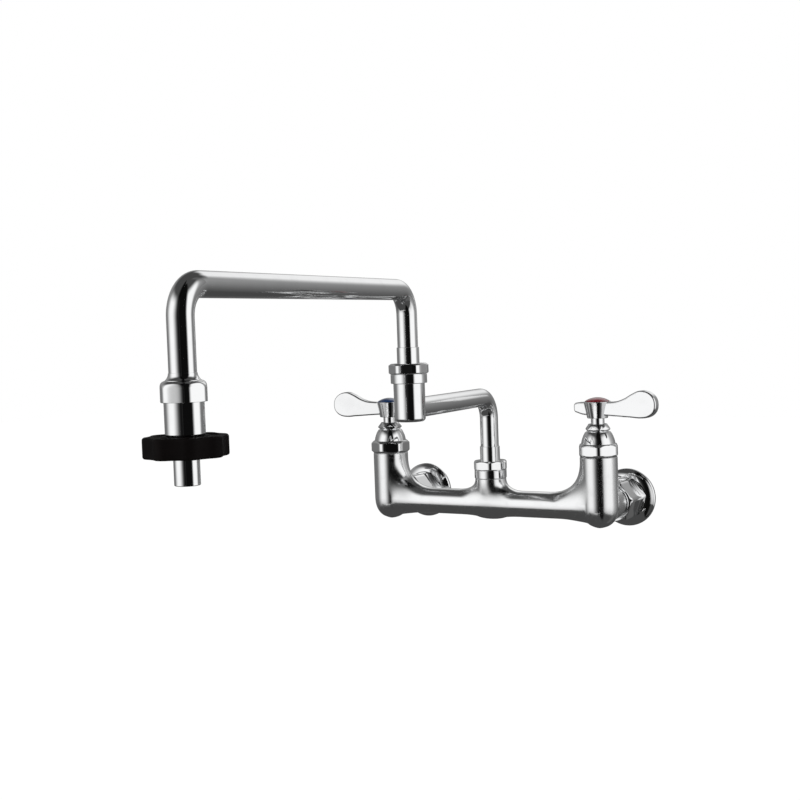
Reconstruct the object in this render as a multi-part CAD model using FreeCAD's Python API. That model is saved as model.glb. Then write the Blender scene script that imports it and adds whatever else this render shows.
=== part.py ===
import FreeCAD, Part
import math
import os

# Wall-mounted two-lever mixer with a double-jointed swing spout and a throttle at its outlet.
# Millimetres, +Z up. The origin lies in the wall plane, midway between the two inlets.
# +Y points into the wall, so the whole mixer stands in front of it at negative Y.
# Heights are measured from the level of the two inlets.

# Connection to the wall
inlet_spacing = 203.2
valve_reach = 67.8
pipe_thread_radius = 9.3
pipe_thread_depth = 14.0
water_way_radius = 7.0
flange_radius = 25.4
flange_rim = 3.0
flange_lip = 1.6
flange_groove = 1.2
flange_dome_radius = 17.2
flange_dome_rise = 7.0
flange_recess_width = 6.0
flange_recess_depth = 1.4
flange_recess_start = 14.2
flange_hexagon_flats = 33.0
flange_hexagon_corners = 37.6
flange_hexagon_length = 11.6
flange_hexagon_turn = 8.0
coupling_gap = 0.8
coupling_nut_flats = 33.0
coupling_nut_corners = 37.6
coupling_nut_length = 20.5
coupling_nut_lip = 6.0
tail_radius = 10.3
tail_shoulder_radius = 11.9
tail_shoulder_length = 2.2
washer_thickness = 1.2
neck_radius = 14.3
neck_thread_radius = 12.5
neck_face_gap = 0.4
neck_bore = 8.6
neck_bore_end_wall = 3.2
nut_chamfer = 1.3

# Body casting
crossbar_radius = 11.4
crossbar_bore = 7.0
barrel_radius = 15.8
barrel_top = 42.9
barrel_bore = 10.5
foot_drop = 1.2
barrel_fillet = 26.0
boss_radius = 13.6
boss_top = 22.4
boss_fillet = 11.0
boss_port = 6.5
seat_plane = -3.0
seat_port = 5.0
inlet_port = 3.6
inlet_port_drop = 5.1
inlet_sump = 0.8
inlet_port_floor = 4.0
bonnet_thread_radius = 13.4
bonnet_thread_depth = 6.4
cartridge_flange_depth = 9.9

# Valve cartridge
seat_gasket_thickness = 1.5
seat_gasket_bore = 5.2
cartridge_nose_radius = 7.6
cartridge_nose_length = 14.0
cartridge_body_radius = 10.4
cartridge_flange_radius = 12.9
cartridge_flange_thickness = 2.5
cartridge_gasket_thickness = 1.0
disc_radius = 6.2
disc_thickness = 3.0
disc_opening = 4.4
disc_opening_start = 1.4
moving_disc_thickness = 2.5
window_height = 6.0
window_width = 7.0
drive_key_width = 2.0
drive_key_depth = 1.0
stem_radius = 5.65
stem_waist_radius = 3.4
stem_foot_thickness = 2.4
stem_ring_section = 0.9
stem_ring_heights = (19.0, 25.0)
stem_square = 7.9
screw_radius = 2.0
screw_depth = 9.0
screw_tip_gap = 1.0
screw_head_radius = 3.8
screw_head_height = 2.2
screw_slot_width = 1.0
screw_slot_depth = 1.0

# Bonnet and packing nut
bonnet_hexagon_flats = 32.2
bonnet_hexagon_corners = 35.0
bonnet_turn_left = 31.0
bonnet_turn_right = -8.0
bonnet_hexagon_height = 10.9
bonnet_dome_base = 14.3
bonnet_dome_top = 10.5
bonnet_dome_bulge = 13.6
bonnet_dome_bulge_height = 5.7
bonnet_dome_height = 10.2
bonnet_cavity_radius = 9.0
bonnet_roof = 5.0
bonnet_neck_radius = 8.0
bonnet_neck_height = 5.0
packing_bore = 7.4
packing_depth = 3.0
packing_nut_flats = 20.0
packing_nut_corners = 21.8
packing_nut_top_radius = 7.6
packing_nut_height = 6.6
packing_nut_foot = 9.0
packing_nut_waist = 1.5
packing_nut_brow = 2.1

# Lever, screw and button
hub_gap = 4.8
hub_bottom_radius = 8.6
hub_top_radius = 11.7
hub_height = 13.9
hub_web = 2.0
lever_rest_turn = 7.0
lever_side_crown = 0.4
lever_edge_crown = 0.77
button_radius = 10.2
button_rise = 3.6
button_plug_radius = 6.5
button_plug_length = 2.4
# Lever arm: distance from the stem, lower edge, upper edge (both above the hub's foot), half thickness
lever_sections = (
    (5.0, 2.3, 13.5, 4.6),
    (13.0, 2.0, 13.8, 4.4),
    (20.0, 1.6, 14.5, 4.1),
    (26.5, 1.2, 16.7, 3.9),
    (33.5, 0.8, 20.8, 3.9),
    (40.5, 0.2, 23.4, 4.0),
    (46.5, 0.9, 22.6, 3.8),
    (50.6, 2.8, 20.2, 3.2),
    (53.4, 5.7, 17.0, 2.2),
    (54.9, 9.0, 13.6, 1.0),
)
stub_sections = (
    (5.0, 2.3, 13.4, 4.6),
    (12.5, 2.9, 13.4, 4.3),
    (17.0, 4.2, 13.2, 3.9),
    (19.4, 5.0, 12.6, 3.2),
    (20.5, 6.2, 11.5, 1.8),
)

# Swivels: the same design at the foot of both arms
spigot_radius = 8.65
spigot_bore = 5.6
spigot_drop = 12.0
spigot_rise = 27.7
swivel_thread_radius = 12.0
swivel_thread_length = 10.2
swivel_skirt_radius = 14.1
swivel_skirt_height = 6.8
swivel_hexagon_flats = 28.6
swivel_hexagon_corners = 31.0
base_nut_turn = 55.0
elbow_nut_turn = 24.5
swivel_hexagon_height = 8.4
swivel_lip = 2.8
swivel_ring_radius = 11.2
swivel_ring_thickness = 1.4
swivel_ring_groove = 1.0
swivel_ring_gap = 2.4
swivel_seal_section = 1.0
swivel_seal_drops = (4.5, 8.5)
thrust_washer_thickness = 1.0
thrust_washer_bore = 6.5

# Spout arms
tube_radius = 7.94
tube_wall = 1.0
tube_seat = 14.0
bend_radius = 19.0
lower_arm_length = 152.4
lower_arm_height = 93.9
lower_arm_direction = 273.0
upper_arm_length = 304.8
upper_arm_height = 185.6
upper_arm_direction = 275.5
cup_radius = 12.15
cup_bottom = 84.0
cup_top = 113.8
cup_floor = 3.0
cup_bore = 8.0
cup_edge_radius = 3.0
cup_tube_entry = 9.4

# Outlet throttle
collar_bottom = 128.2
collar_shoulder_radius = 10.3
collar_shoulder_height = 1.3
collar_neck_radius = 8.9
collar_flare_radius = 10.3
collar_flare_height = 4.3
collar_flare_waist = 8.9
collar_flare_waist_height = 2.0
outlet_nut_bottom = 119.65
outlet_nut_height = 11.85
outlet_nut_flats = 26.0
outlet_nut_corners = 27.8
outlet_nut_turn = 18.0
outlet_nut_top_radius = 11.1
outlet_nut_shoulder = 3.8
throttle_radius = 11.4
throttle_bottom = 101.2
throttle_thread_radius = 10.4
throttle_thread_length = 7.35
throttle_bore = 9.0
throttle_way = 5.6
throttle_partition = 11.0
throttle_disc_thickness = 3.0
throttle_moving_thickness = 2.8
throttle_opening = 6.6
throttle_opening_start = 1.6
spindle_head_length = 7.2
spindle_seal_section = 0.9
spindle_seal_drop = 3.6
circlip_thickness = 1.1
circlip_bite = 0.8
spindle_radius = 7.9
outlet_radius = 7.45
outlet_bore = 6.2
outlet_end = 72.6
wheel_radius = 24.3
wheel_flute_radius = 22.2
wheel_lobe_radius = 7.0
wheel_lobes = 8
wheel_bottom = 88.6
wheel_height = 12.1
wheel_edge = 0.8
wheel_web = 4.4
wheel_hub_radius = 11.5
wheel_rim = 2.6
set_screw_radius = 1.5
set_screw_length = 8.0

# Clearances
running_clearance = 0.06
thread_clearance = 0.05
seat_clearance = 0.05
lip_clearance = 0.10
face_clearance = 0.20
edge_round = 0.5

# Places that follow from the sizes above
half_spacing = inlet_spacing / 2
bonnet_top = barrel_top + bonnet_hexagon_height + bonnet_dome_height
hub_bottom = bonnet_top + packing_nut_height + hub_gap
hub_top = hub_bottom + hub_height
ledge_height = barrel_top - cartridge_flange_depth
stem_top = hub_top - button_plug_length - screw_head_height - hub_web - seat_clearance
elbow_x = lower_arm_length * math.cos(math.radians(lower_arm_direction))
elbow_y = -valve_reach + lower_arm_length * math.sin(math.radians(lower_arm_direction))
outlet_x = elbow_x + upper_arm_length * math.cos(math.radians(upper_arm_direction))
outlet_y = elbow_y + upper_arm_length * math.sin(math.radians(upper_arm_direction))
disc_foot = seat_plane + seat_gasket_thickness
moving_disc_foot = disc_foot + disc_thickness
stem_foot = moving_disc_foot + moving_disc_thickness

UP = FreeCAD.Vector(0, 0, 1)
ORIGIN = FreeCAD.Vector(0, 0, 0)


# Shapes used by many pieces

def rod(radius, bottom, top):
    return Part.makeCylinder(radius, top - bottom, FreeCAD.Vector(0, 0, bottom))


def ring(bore, radius, bottom, top):
    return rod(radius, bottom, top).cut(rod(bore, bottom, top))


def turned(*outline):
    """Solid turned about Z from a closed outline of (radius, height) points.

    A point with two pairs is an arc: the middle of the arc, then its end.
    """
    corners = [point if len(point) == 2 else point[2:] for point in outline]
    edges = []
    for index, point in enumerate(outline):
        start = corners[index - 1]
        end = corners[index]
        first = FreeCAD.Vector(start[0], 0, start[1])
        last = FreeCAD.Vector(end[0], 0, end[1])
        if len(point) == 4:
            middle = FreeCAD.Vector(point[0], 0, point[1])
            edges.append(Part.Arc(first, middle, last).toShape())
        else:
            edges.append(Part.LineSegment(first, last).toShape())
    face = Part.Face(Part.Wire(edges))
    return face.revolve(ORIGIN, UP, 360)


def hexagon(across_flats, bottom, top, turn=0.0):
    corner = across_flats / math.sqrt(3)
    points = []
    for index in range(7):
        angle = math.radians(60 * index + turn)
        points.append(FreeCAD.Vector(corner * math.cos(angle), corner * math.sin(angle), bottom))
    return Part.Face(Part.makePolygon(points)).extrude(FreeCAD.Vector(0, 0, top - bottom))


def chamfered_hexagon(across_flats, across_corners, bottom, top, chamfer, turn=0.0):
    """Hexagon whose corners are turned down to across_corners and whose ends are coned."""
    corner = across_corners / 2
    flat = across_flats / 2
    envelope = turned(
        (0, bottom), (flat - chamfer / 2, bottom), (corner, bottom + chamfer),
        (corner, top - chamfer), (flat - chamfer / 2, top), (0, top))
    return hexagon(across_flats, bottom, top, turn).common(envelope)


def o_ring(outer_radius, section_radius, height):
    ring_centre = outer_radius - section_radius
    return Part.makeTorus(ring_centre, section_radius, FreeCAD.Vector(0, 0, height), UP)


def seal_groove(outer_radius, section_radius, height):
    """What is cut from a shaft of outer_radius for one such ring."""
    half_width = section_radius + seat_clearance
    floor = outer_radius - 2 * section_radius - seat_clearance
    return ring(floor, outer_radius + section_radius, height - half_width, height + half_width)


def box(width, depth, bottom, top):
    corner = FreeCAD.Vector(-width / 2, -depth / 2, bottom)
    return Part.makeBox(width, depth, top - bottom, corner)


def along_y(shape):
    """Turns a piece made along +Z so that it points out from the wall, towards -Y."""
    turned_shape = shape.copy()
    turned_shape.rotate(ORIGIN, FreeCAD.Vector(1, 0, 0), 90)
    return turned_shape


def moved(shape, x, y, turn=0.0):
    placed = shape.copy()
    placed.rotate(ORIGIN, UP, turn)
    placed.translate(FreeCAD.Vector(x, y, 0))
    return placed


def half_moon(radius, start, bottom, top):
    """Opening of a ceramic disc: the part of a circle that lies beyond a chord."""
    side = 2 * radius
    keep = Part.makeBox(side, side, top - bottom, FreeCAD.Vector(-radius, start, bottom))
    return rod(radius, bottom, top).common(keep)


def swept(radius, path):
    start = path.Edges[0].valueAt(path.Edges[0].FirstParameter)
    tangent = path.Edges[0].tangentAt(path.Edges[0].FirstParameter)
    circle = Part.Wire(Part.makeCircle(radius, start, tangent))
    return path.makePipeShell([circle], True, False)


def tube(path):
    return swept(tube_radius, path).cut(swept(tube_radius - tube_wall, path))


def bend(corner, before, after):
    """Arc of the bend radius that rounds a square corner of the tube's line."""
    first = corner - before * bend_radius
    last = corner + after * bend_radius
    centre = first + after * bend_radius
    middle = centre + (corner - centre).normalize() * bend_radius
    return first, last, Part.Arc(first, middle, last).toShape()


def straight(start, end):
    return Part.LineSegment(start, end).toShape()


# Levels along the axis of a wall connection, counted outwards from the wall
flange_hexagon_start = flange_dome_rise - edge_round
flange_hexagon_end = flange_hexagon_start + flange_hexagon_length
coupling_start = flange_hexagon_end + coupling_gap
coupling_end = coupling_start + coupling_nut_length
shoulder_start = coupling_start + coupling_nut_lip
shoulder_end = shoulder_start + tail_shoulder_length
neck_start = shoulder_end + washer_thickness
neck_step = coupling_end + neck_face_gap


def make_wall_flange():
    lip_edge = flange_radius - flange_lip
    body = turned(
        (0, 0), (flange_radius, 0), (flange_radius, flange_rim - edge_round),
        (flange_radius - edge_round, flange_rim), (lip_edge, flange_rim),
        (lip_edge, flange_rim - flange_groove),
        (flange_radius - 2 * flange_lip, flange_rim - flange_groove),
        ((flange_dome_radius + flange_radius) / 2 - flange_lip, flange_rim + flange_groove,
         flange_dome_radius, flange_dome_rise),
        (0, flange_dome_rise))
    base = chamfered_hexagon(flange_hexagon_flats, flange_hexagon_corners, flange_hexagon_start,
                             flange_hexagon_end, nut_chamfer, flange_hexagon_turn)
    tail = rod(tail_radius, flange_hexagon_start, shoulder_end)
    shoulder = rod(tail_shoulder_radius, shoulder_start, shoulder_end)
    body = body.fuse([base, tail, shoulder])
    body = body.cut(rod(water_way_radius, 0, shoulder_end))
    body = body.cut(rod(pipe_thread_radius, 0, pipe_thread_depth))
    recess_end = flange_recess_start + flange_recess_width
    body = body.cut(ring(flange_recess_start, recess_end, 0, flange_recess_depth))
    return along_y(body.removeSplitter())


def make_coupling_nut():
    nut = chamfered_hexagon(coupling_nut_flats, coupling_nut_corners, coupling_start, coupling_end,
                            nut_chamfer, flange_hexagon_turn)
    nut = nut.cut(rod(tail_radius + seat_clearance, coupling_start, coupling_end))
    nut = nut.cut(rod(neck_thread_radius + thread_clearance, shoulder_start, coupling_end))
    return along_y(nut)


def make_coupling_washer():
    return along_y(ring(neck_bore, tail_shoulder_radius, shoulder_end, neck_start))


# Body casting

def stub(radius, top):
    """Upright round stub of the casting with a rounded foot."""
    ball = Part.makeSphere(radius, FreeCAD.Vector(0, 0, -foot_drop))
    return rod(radius, -foot_drop, top).fuse(ball)


def blend_edges(shape, place, radius):
    """Edges where an upright stub at x = place meets the crossbar."""
    found = []
    for edge in shape.Edges:
        span = edge.LastParameter - edge.FirstParameter
        samples = [edge.valueAt(edge.FirstParameter + span * share) for share in (0.1, 0.5, 0.9)]
        on_bar = all(abs(math.hypot(p.y, p.z) - crossbar_radius) < 0.01 for p in samples)
        near = all(crossbar_radius / 4 < abs(p.x - place) < radius + 0.01 for p in samples)
        if on_bar and near:
            found.append(edge)
    return found


def make_mixer_body():
    crossbar = Part.makeCylinder(crossbar_radius, inlet_spacing, FreeCAD.Vector(-half_spacing, 0, 0),
                                 FreeCAD.Vector(1, 0, 0))
    body = crossbar
    for place, radius, top, fillet in (
            (-half_spacing, barrel_radius, barrel_top, barrel_fillet),
            (half_spacing, barrel_radius, barrel_top, barrel_fillet),
            (0, boss_radius, boss_top, boss_fillet)):
        body = body.fuse(moved(stub(radius, top), place, 0)).removeSplitter()
        tallest_fillet = top - crossbar_radius - edge_round
        body = body.makeFillet(min(fillet, tallest_fillet), blend_edges(body, place, radius))
    neck_length = valve_reach - neck_step
    for side in (-1, 1):
        neck = Part.makeCylinder(neck_radius, neck_length, FreeCAD.Vector(side * half_spacing, 0, 0),
                                 FreeCAD.Vector(0, 1, 0))
        thread = Part.makeCylinder(neck_thread_radius, neck_step - neck_start,
                                   FreeCAD.Vector(side * half_spacing, neck_length, 0),
                                   FreeCAD.Vector(0, 1, 0))
        body = body.fuse([neck, thread])
    body = body.fuse(rod(swivel_thread_radius, boss_top, boss_top + swivel_thread_length))
    body = body.removeSplitter()

    for side in (-1, 1):
        x = side * half_spacing
        body = body.cut(moved(rod(barrel_bore, seat_plane, barrel_top), x, 0))
        body = body.cut(moved(rod(cartridge_flange_radius + seat_clearance, ledge_height, barrel_top), x, 0))
        thread_foot = barrel_top - bonnet_thread_depth
        body = body.cut(moved(rod(bonnet_thread_radius + thread_clearance, thread_foot, barrel_top), x, 0))
        port_height = seat_plane - inlet_port_drop
        port_floor = port_height - inlet_port - inlet_sump
        body = body.cut(moved(rod(seat_port, port_floor, seat_plane), x, 0))
        bore_start = barrel_bore + neck_bore_end_wall
        along = FreeCAD.Vector(0, 1, 0)
        port = Part.makeCylinder(inlet_port, bore_start, FreeCAD.Vector(x, 0, port_height), along)
        bore_length = valve_reach - neck_start - bore_start
        bore = Part.makeCylinder(neck_bore, bore_length, FreeCAD.Vector(x, bore_start, 0), along)
        lower_port = Part.makeCylinder(inlet_port, inlet_port_floor,
                                       FreeCAD.Vector(x, bore_start, port_height), along)
        body = body.cut(port).cut(bore).cut(lower_port)
    bar_bore_length = inlet_spacing - 2 * cartridge_nose_radius
    bar_bore = Part.makeCylinder(crossbar_bore, bar_bore_length,
                                 FreeCAD.Vector(-bar_bore_length / 2, 0, 0), FreeCAD.Vector(1, 0, 0))
    body = body.cut(bar_bore)
    socket_floor = boss_top - spigot_drop - thrust_washer_thickness
    socket_top = boss_top + swivel_thread_length
    body = body.cut(rod(boss_port, 0, socket_floor))
    body = body.cut(rod(spigot_radius + running_clearance, socket_floor, socket_top))
    return moved(body, 0, -valve_reach)


# Valve cartridge, the same left and right

def make_seat_gasket():
    return ring(seat_gasket_bore, cartridge_nose_radius - seat_clearance, seat_plane, disc_foot)


def make_fixed_disc():
    disc = rod(disc_radius, disc_foot, moving_disc_foot)
    opening = half_moon(disc_opening, disc_opening_start, disc_foot, moving_disc_foot)
    return disc.cut(opening).cut(moved(opening, 0, 0, 180))


def make_moving_disc():
    disc = rod(disc_radius - seat_clearance, moving_disc_foot, stem_foot)
    opening = half_moon(disc_opening, disc_opening_start, moving_disc_foot, stem_foot)
    slot = box(2 * disc_radius, drive_key_width + 2 * seat_clearance,
               stem_foot - drive_key_depth - seat_clearance, stem_foot)
    return disc.cut(moved(opening, 0, 0, 90)).cut(moved(opening, 0, 0, 270)).cut(slot)


def make_cartridge_body():
    nose_top = disc_foot + cartridge_nose_length
    flange_foot = ledge_height + cartridge_gasket_thickness
    flange_top = flange_foot + cartridge_flange_thickness
    chamber = disc_radius + running_clearance
    body = rod(cartridge_nose_radius, disc_foot, nose_top)
    body = body.fuse([rod(cartridge_body_radius, nose_top, flange_top),
                      rod(cartridge_flange_radius, flange_foot, flange_top)])
    body = body.cut(rod(chamber, disc_foot, nose_top + edge_round))
    body = body.cut(rod(stem_radius + running_clearance, nose_top, flange_top))
    window_foot = stem_foot + edge_round
    window = box(4 * cartridge_nose_radius, window_width, window_foot, window_foot + window_height)
    return body.cut(window).removeSplitter()


def make_cartridge_gasket():
    return ring(cartridge_body_radius + face_clearance, cartridge_flange_radius,
                ledge_height, ledge_height + cartridge_gasket_thickness)


def make_valve_stem():
    waist_top = disc_foot + cartridge_nose_length - edge_round
    foot_top = stem_foot + stem_foot_thickness
    stem = rod(disc_radius - seat_clearance, stem_foot, foot_top)
    stem = stem.cut(moved(half_moon(disc_opening, disc_opening_start, stem_foot, foot_top), 0, 0, 90))
    stem = stem.cut(moved(half_moon(disc_opening, disc_opening_start, stem_foot, foot_top), 0, 0, 270))
    key = box(2 * disc_opening_start, drive_key_width, stem_foot - drive_key_depth, stem_foot)
    waist = rod(disc_opening_start + edge_round, foot_top - edge_round, foot_top + edge_round)
    neck = rod(stem_waist_radius, foot_top, waist_top)
    square = box(stem_square, stem_square, hub_bottom, stem_top)
    shaft = rod(stem_radius, waist_top, hub_bottom)
    stem = stem.fuse([key, waist, neck, shaft, square.common(rod(stem_radius, hub_bottom, stem_top))])
    for height in stem_ring_heights:
        stem = stem.cut(seal_groove(stem_radius, stem_ring_section, height))
    stem = stem.cut(rod(screw_radius, stem_top - screw_depth, stem_top))
    return stem.removeSplitter()


def make_stem_o_rings():
    return Part.makeCompound([o_ring(stem_radius, stem_ring_section, height) for height in stem_ring_heights])


def make_bonnet(turn):
    hexagon_top = barrel_top + bonnet_hexagon_height
    thread_foot = barrel_top - bonnet_thread_depth
    neck_top = bonnet_top + bonnet_neck_height
    body = chamfered_hexagon(bonnet_hexagon_flats, bonnet_hexagon_corners, barrel_top, hexagon_top,
                             nut_chamfer, turn)
    dome = turned(
        (0, hexagon_top - nut_chamfer), (bonnet_dome_base, hexagon_top - nut_chamfer),
        (bonnet_dome_base, hexagon_top),
        (bonnet_dome_bulge, hexagon_top + bonnet_dome_bulge_height, bonnet_dome_top, bonnet_top),
        (0, bonnet_top))
    body = body.fuse([dome, rod(bonnet_thread_radius, thread_foot, barrel_top),
                      rod(bonnet_neck_radius, bonnet_top, neck_top)])
    body = body.cut(rod(bonnet_cavity_radius, thread_foot, bonnet_top - bonnet_roof))
    body = body.cut(rod(stem_radius + lip_clearance, thread_foot, neck_top))
    body = body.cut(rod(packing_bore + seat_clearance, neck_top - packing_depth, neck_top))
    return body.removeSplitter()


def make_packing_ring():
    neck_top = bonnet_top + bonnet_neck_height
    return ring(stem_radius + lip_clearance, packing_bore, neck_top - packing_depth, neck_top)


def make_packing_nut():
    top = bonnet_top + packing_nut_height
    corner = packing_nut_corners / 2
    waist = bonnet_top + packing_nut_waist
    brow = bonnet_top + packing_nut_brow
    envelope = turned(
        (0, bonnet_top), (packing_nut_foot, bonnet_top), (corner, waist), (corner, brow),
        (packing_nut_top_radius, top), (0, top))
    nut = hexagon(packing_nut_flats, bonnet_top, top).common(envelope)
    thread_top = bonnet_top + bonnet_neck_height + seat_clearance
    nut = nut.cut(rod(bonnet_neck_radius + thread_clearance, bonnet_top, thread_top))
    return nut.cut(rod(stem_radius + lip_clearance, bonnet_top, top))


# Lever, screw and button

def lever_section(reach, low, high, half_thickness):
    """Closed line across the lever at a distance from the stem: a blade with soft edges."""
    middle = hub_bottom + (low + high) / 2
    half_height = (high - low) / 2
    points = []
    for index in range(24):
        angle = 2 * math.pi * index / 24
        across = math.copysign(abs(math.cos(angle)) ** lever_side_crown, math.cos(angle))
        upward = math.copysign(abs(math.sin(angle)) ** lever_edge_crown, math.sin(angle))
        points.append(FreeCAD.Vector(reach, half_thickness * across, middle + half_height * upward))
    curve = Part.BSplineCurve()
    curve.interpolate(points, PeriodicFlag=True)
    return Part.Wire(curve.toShape())


def make_lever_handle():
    hub = turned((0, hub_bottom), (hub_bottom_radius - edge_round, hub_bottom),
                 (hub_bottom_radius, hub_bottom + edge_round), (hub_top_radius, hub_top - edge_round),
                 (hub_top_radius - edge_round, hub_top), (0, hub_top))
    arm = Part.makeLoft([lever_section(*section) for section in lever_sections], True)
    tail = Part.makeLoft([lever_section(*section) for section in stub_sections], True)
    tail.rotate(ORIGIN, UP, 180)
    handle = hub.fuse([arm, tail])
    socket = stem_square + 2 * seat_clearance
    drive = box(socket, socket, hub_bottom, stem_top + seat_clearance)
    handle = handle.cut(drive.common(rod(stem_radius + seat_clearance, hub_bottom, hub_top)))
    handle = handle.cut(rod(screw_radius + seat_clearance, hub_bottom, hub_top))
    head_seat = stem_top + seat_clearance + hub_web
    handle = handle.cut(rod(screw_head_radius + face_clearance, head_seat, hub_top))
    plug_floor = hub_top - button_plug_length - seat_clearance
    handle = handle.cut(rod(button_plug_radius + seat_clearance, plug_floor, hub_top))
    return handle


def make_handle_screw():
    head_seat = stem_top + seat_clearance + hub_web
    head_top = head_seat + screw_head_height - seat_clearance
    screw = rod(screw_radius - thread_clearance, stem_top - screw_depth + screw_tip_gap, head_seat)
    head = rod(screw_head_radius, head_seat, head_top)
    for turn in (0, 90):
        slot = box(screw_head_radius, screw_slot_width, head_top - screw_slot_depth, head_top)
        head = head.cut(moved(slot, 0, 0, turn))
    return screw.fuse(head).removeSplitter()


def make_index_button():
    edge = hub_top + edge_round
    rise = button_rise - edge_round
    ball = (button_radius ** 2 + rise ** 2) / (2 * rise)
    half_angle = math.asin(button_radius / ball) / 2
    cap = turned((0, hub_top), (button_radius, hub_top), (button_radius, edge),
                 (ball * math.sin(half_angle), hub_top + button_rise - ball * (1 - math.cos(half_angle)),
                  0, hub_top + button_rise))
    return cap.fuse(rod(button_plug_radius, hub_top - button_plug_length, hub_top)).removeSplitter()


# Swivels: shoulder is the height of the face that the nut sits on

def make_thrust_washer(shoulder):
    floor = shoulder - spigot_drop - thrust_washer_thickness
    return ring(thrust_washer_bore, spigot_radius, floor, floor + thrust_washer_thickness)


def make_swivel_o_rings(shoulder):
    rings = [o_ring(spigot_radius, swivel_seal_section, shoulder - drop) for drop in swivel_seal_drops]
    return Part.makeCompound(rings)


def swivel_ring_foot(shoulder):
    return shoulder + swivel_thread_length + lip_clearance


def make_retaining_ring(shoulder):
    foot = swivel_ring_foot(shoulder)
    top = foot + swivel_ring_thickness
    split = Part.makeBox(2 * spigot_radius, swivel_ring_gap, swivel_ring_thickness,
                         FreeCAD.Vector(0, -swivel_ring_gap / 2, foot))
    return ring(spigot_radius - swivel_ring_groove + seat_clearance, swivel_ring_radius, foot, top).cut(split)


def make_swivel_nut(shoulder, turn):
    skirt_top = shoulder + swivel_skirt_height
    top = skirt_top + swivel_hexagon_height
    nut = chamfered_hexagon(swivel_hexagon_flats, swivel_hexagon_corners, skirt_top, top, nut_chamfer, turn)
    skirt = turned((0, shoulder), (swivel_skirt_radius - edge_round, shoulder),
                   (swivel_skirt_radius, shoulder + edge_round), (swivel_skirt_radius, skirt_top + edge_round),
                   (0, skirt_top + edge_round))
    nut = nut.fuse(skirt)
    nut = nut.cut(rod(swivel_thread_radius + thread_clearance, shoulder, top - swivel_lip))
    return nut.cut(rod(spigot_radius + lip_clearance, shoulder, top)).removeSplitter()


def make_spigot(shoulder):
    foot = shoulder - spigot_drop
    top = shoulder + spigot_rise
    body = turned((spigot_bore, foot), (spigot_radius - edge_round, foot),
                  (spigot_radius, foot + edge_round), (spigot_radius, top - edge_round),
                  (spigot_radius - edge_round, top), (spigot_bore, top))
    body = body.cut(rod(tube_radius + seat_clearance, shoulder + tube_seat, top))
    for drop in swivel_seal_drops:
        body = body.cut(seal_groove(spigot_radius, swivel_seal_section, shoulder - drop))
    groove_foot = swivel_ring_foot(shoulder) - seat_clearance
    groove_top = groove_foot + swivel_ring_thickness + 2 * seat_clearance
    return body.cut(ring(spigot_radius - swivel_ring_groove, spigot_radius + 1, groove_foot, groove_top))


# Spout arms: straight runs joined by bends of one radius

def arm_vector(direction):
    angle = math.radians(direction)
    return FreeCAD.Vector(math.cos(angle), math.sin(angle), 0)


def make_lower_arm_tube():
    out = arm_vector(lower_arm_direction)
    start = FreeCAD.Vector(0, -valve_reach, boss_top + tube_seat)
    corner = FreeCAD.Vector(0, -valve_reach, lower_arm_height)
    end = FreeCAD.Vector(elbow_x, elbow_y, lower_arm_height) - out * cup_tube_entry
    first, last, arc = bend(corner, UP, out)
    return tube(Part.Wire([straight(start, first), arc, straight(last, end)]))


def make_upper_arm_tube():
    out = arm_vector(upper_arm_direction)
    start = FreeCAD.Vector(elbow_x, elbow_y, cup_top + tube_seat)
    near_corner = FreeCAD.Vector(elbow_x, elbow_y, upper_arm_height)
    far_corner = FreeCAD.Vector(outlet_x, outlet_y, upper_arm_height)
    end = FreeCAD.Vector(outlet_x, outlet_y, collar_bottom + collar_shoulder_height)
    near_first, near_last, near_arc = bend(near_corner, UP, out)
    far_first, far_last, far_arc = bend(far_corner, out, UP * -1)
    return tube(Part.Wire([straight(start, near_first), near_arc, straight(near_last, far_first),
                           far_arc, straight(far_last, end)]))


def make_elbow_cup():
    socket_floor = cup_top - spigot_drop - thrust_washer_thickness
    arc_depth = cup_edge_radius * (1 - math.sqrt(0.5))
    body = turned((0, cup_bottom), (cup_radius - cup_edge_radius, cup_bottom),
                  (cup_radius - arc_depth, cup_bottom + arc_depth, cup_radius, cup_bottom + cup_edge_radius),
                  (cup_radius, cup_top), (swivel_thread_radius, cup_top),
                  (swivel_thread_radius, cup_top + swivel_thread_length), (0, cup_top + swivel_thread_length))
    body = body.cut(rod(cup_bore, cup_bottom + cup_floor, socket_floor))
    body = body.cut(rod(spigot_radius + running_clearance, socket_floor, cup_top + swivel_thread_length))
    back = arm_vector(lower_arm_direction) * -1
    entry = Part.makeCylinder(tube_radius + seat_clearance, cup_radius,
                              FreeCAD.Vector(0, 0, lower_arm_height), back)
    return body.cut(entry)


# Outlet throttle

def make_outlet_collar():
    shoulder_top = collar_bottom + collar_shoulder_height
    nut_top = outlet_nut_bottom + outlet_nut_height
    flare_top = nut_top + collar_flare_height
    bore = tube_radius - tube_wall
    body = turned((bore, collar_bottom), (collar_shoulder_radius, collar_bottom),
                  (collar_shoulder_radius, shoulder_top), (collar_neck_radius, shoulder_top),
                  (collar_neck_radius, nut_top), (collar_flare_radius, nut_top),
                  (collar_flare_waist, nut_top + collar_flare_waist_height,
                   tube_radius + edge_round, flare_top),
                  (bore, flare_top))
    return body.cut(rod(tube_radius + seat_clearance, shoulder_top, flare_top))


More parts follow.
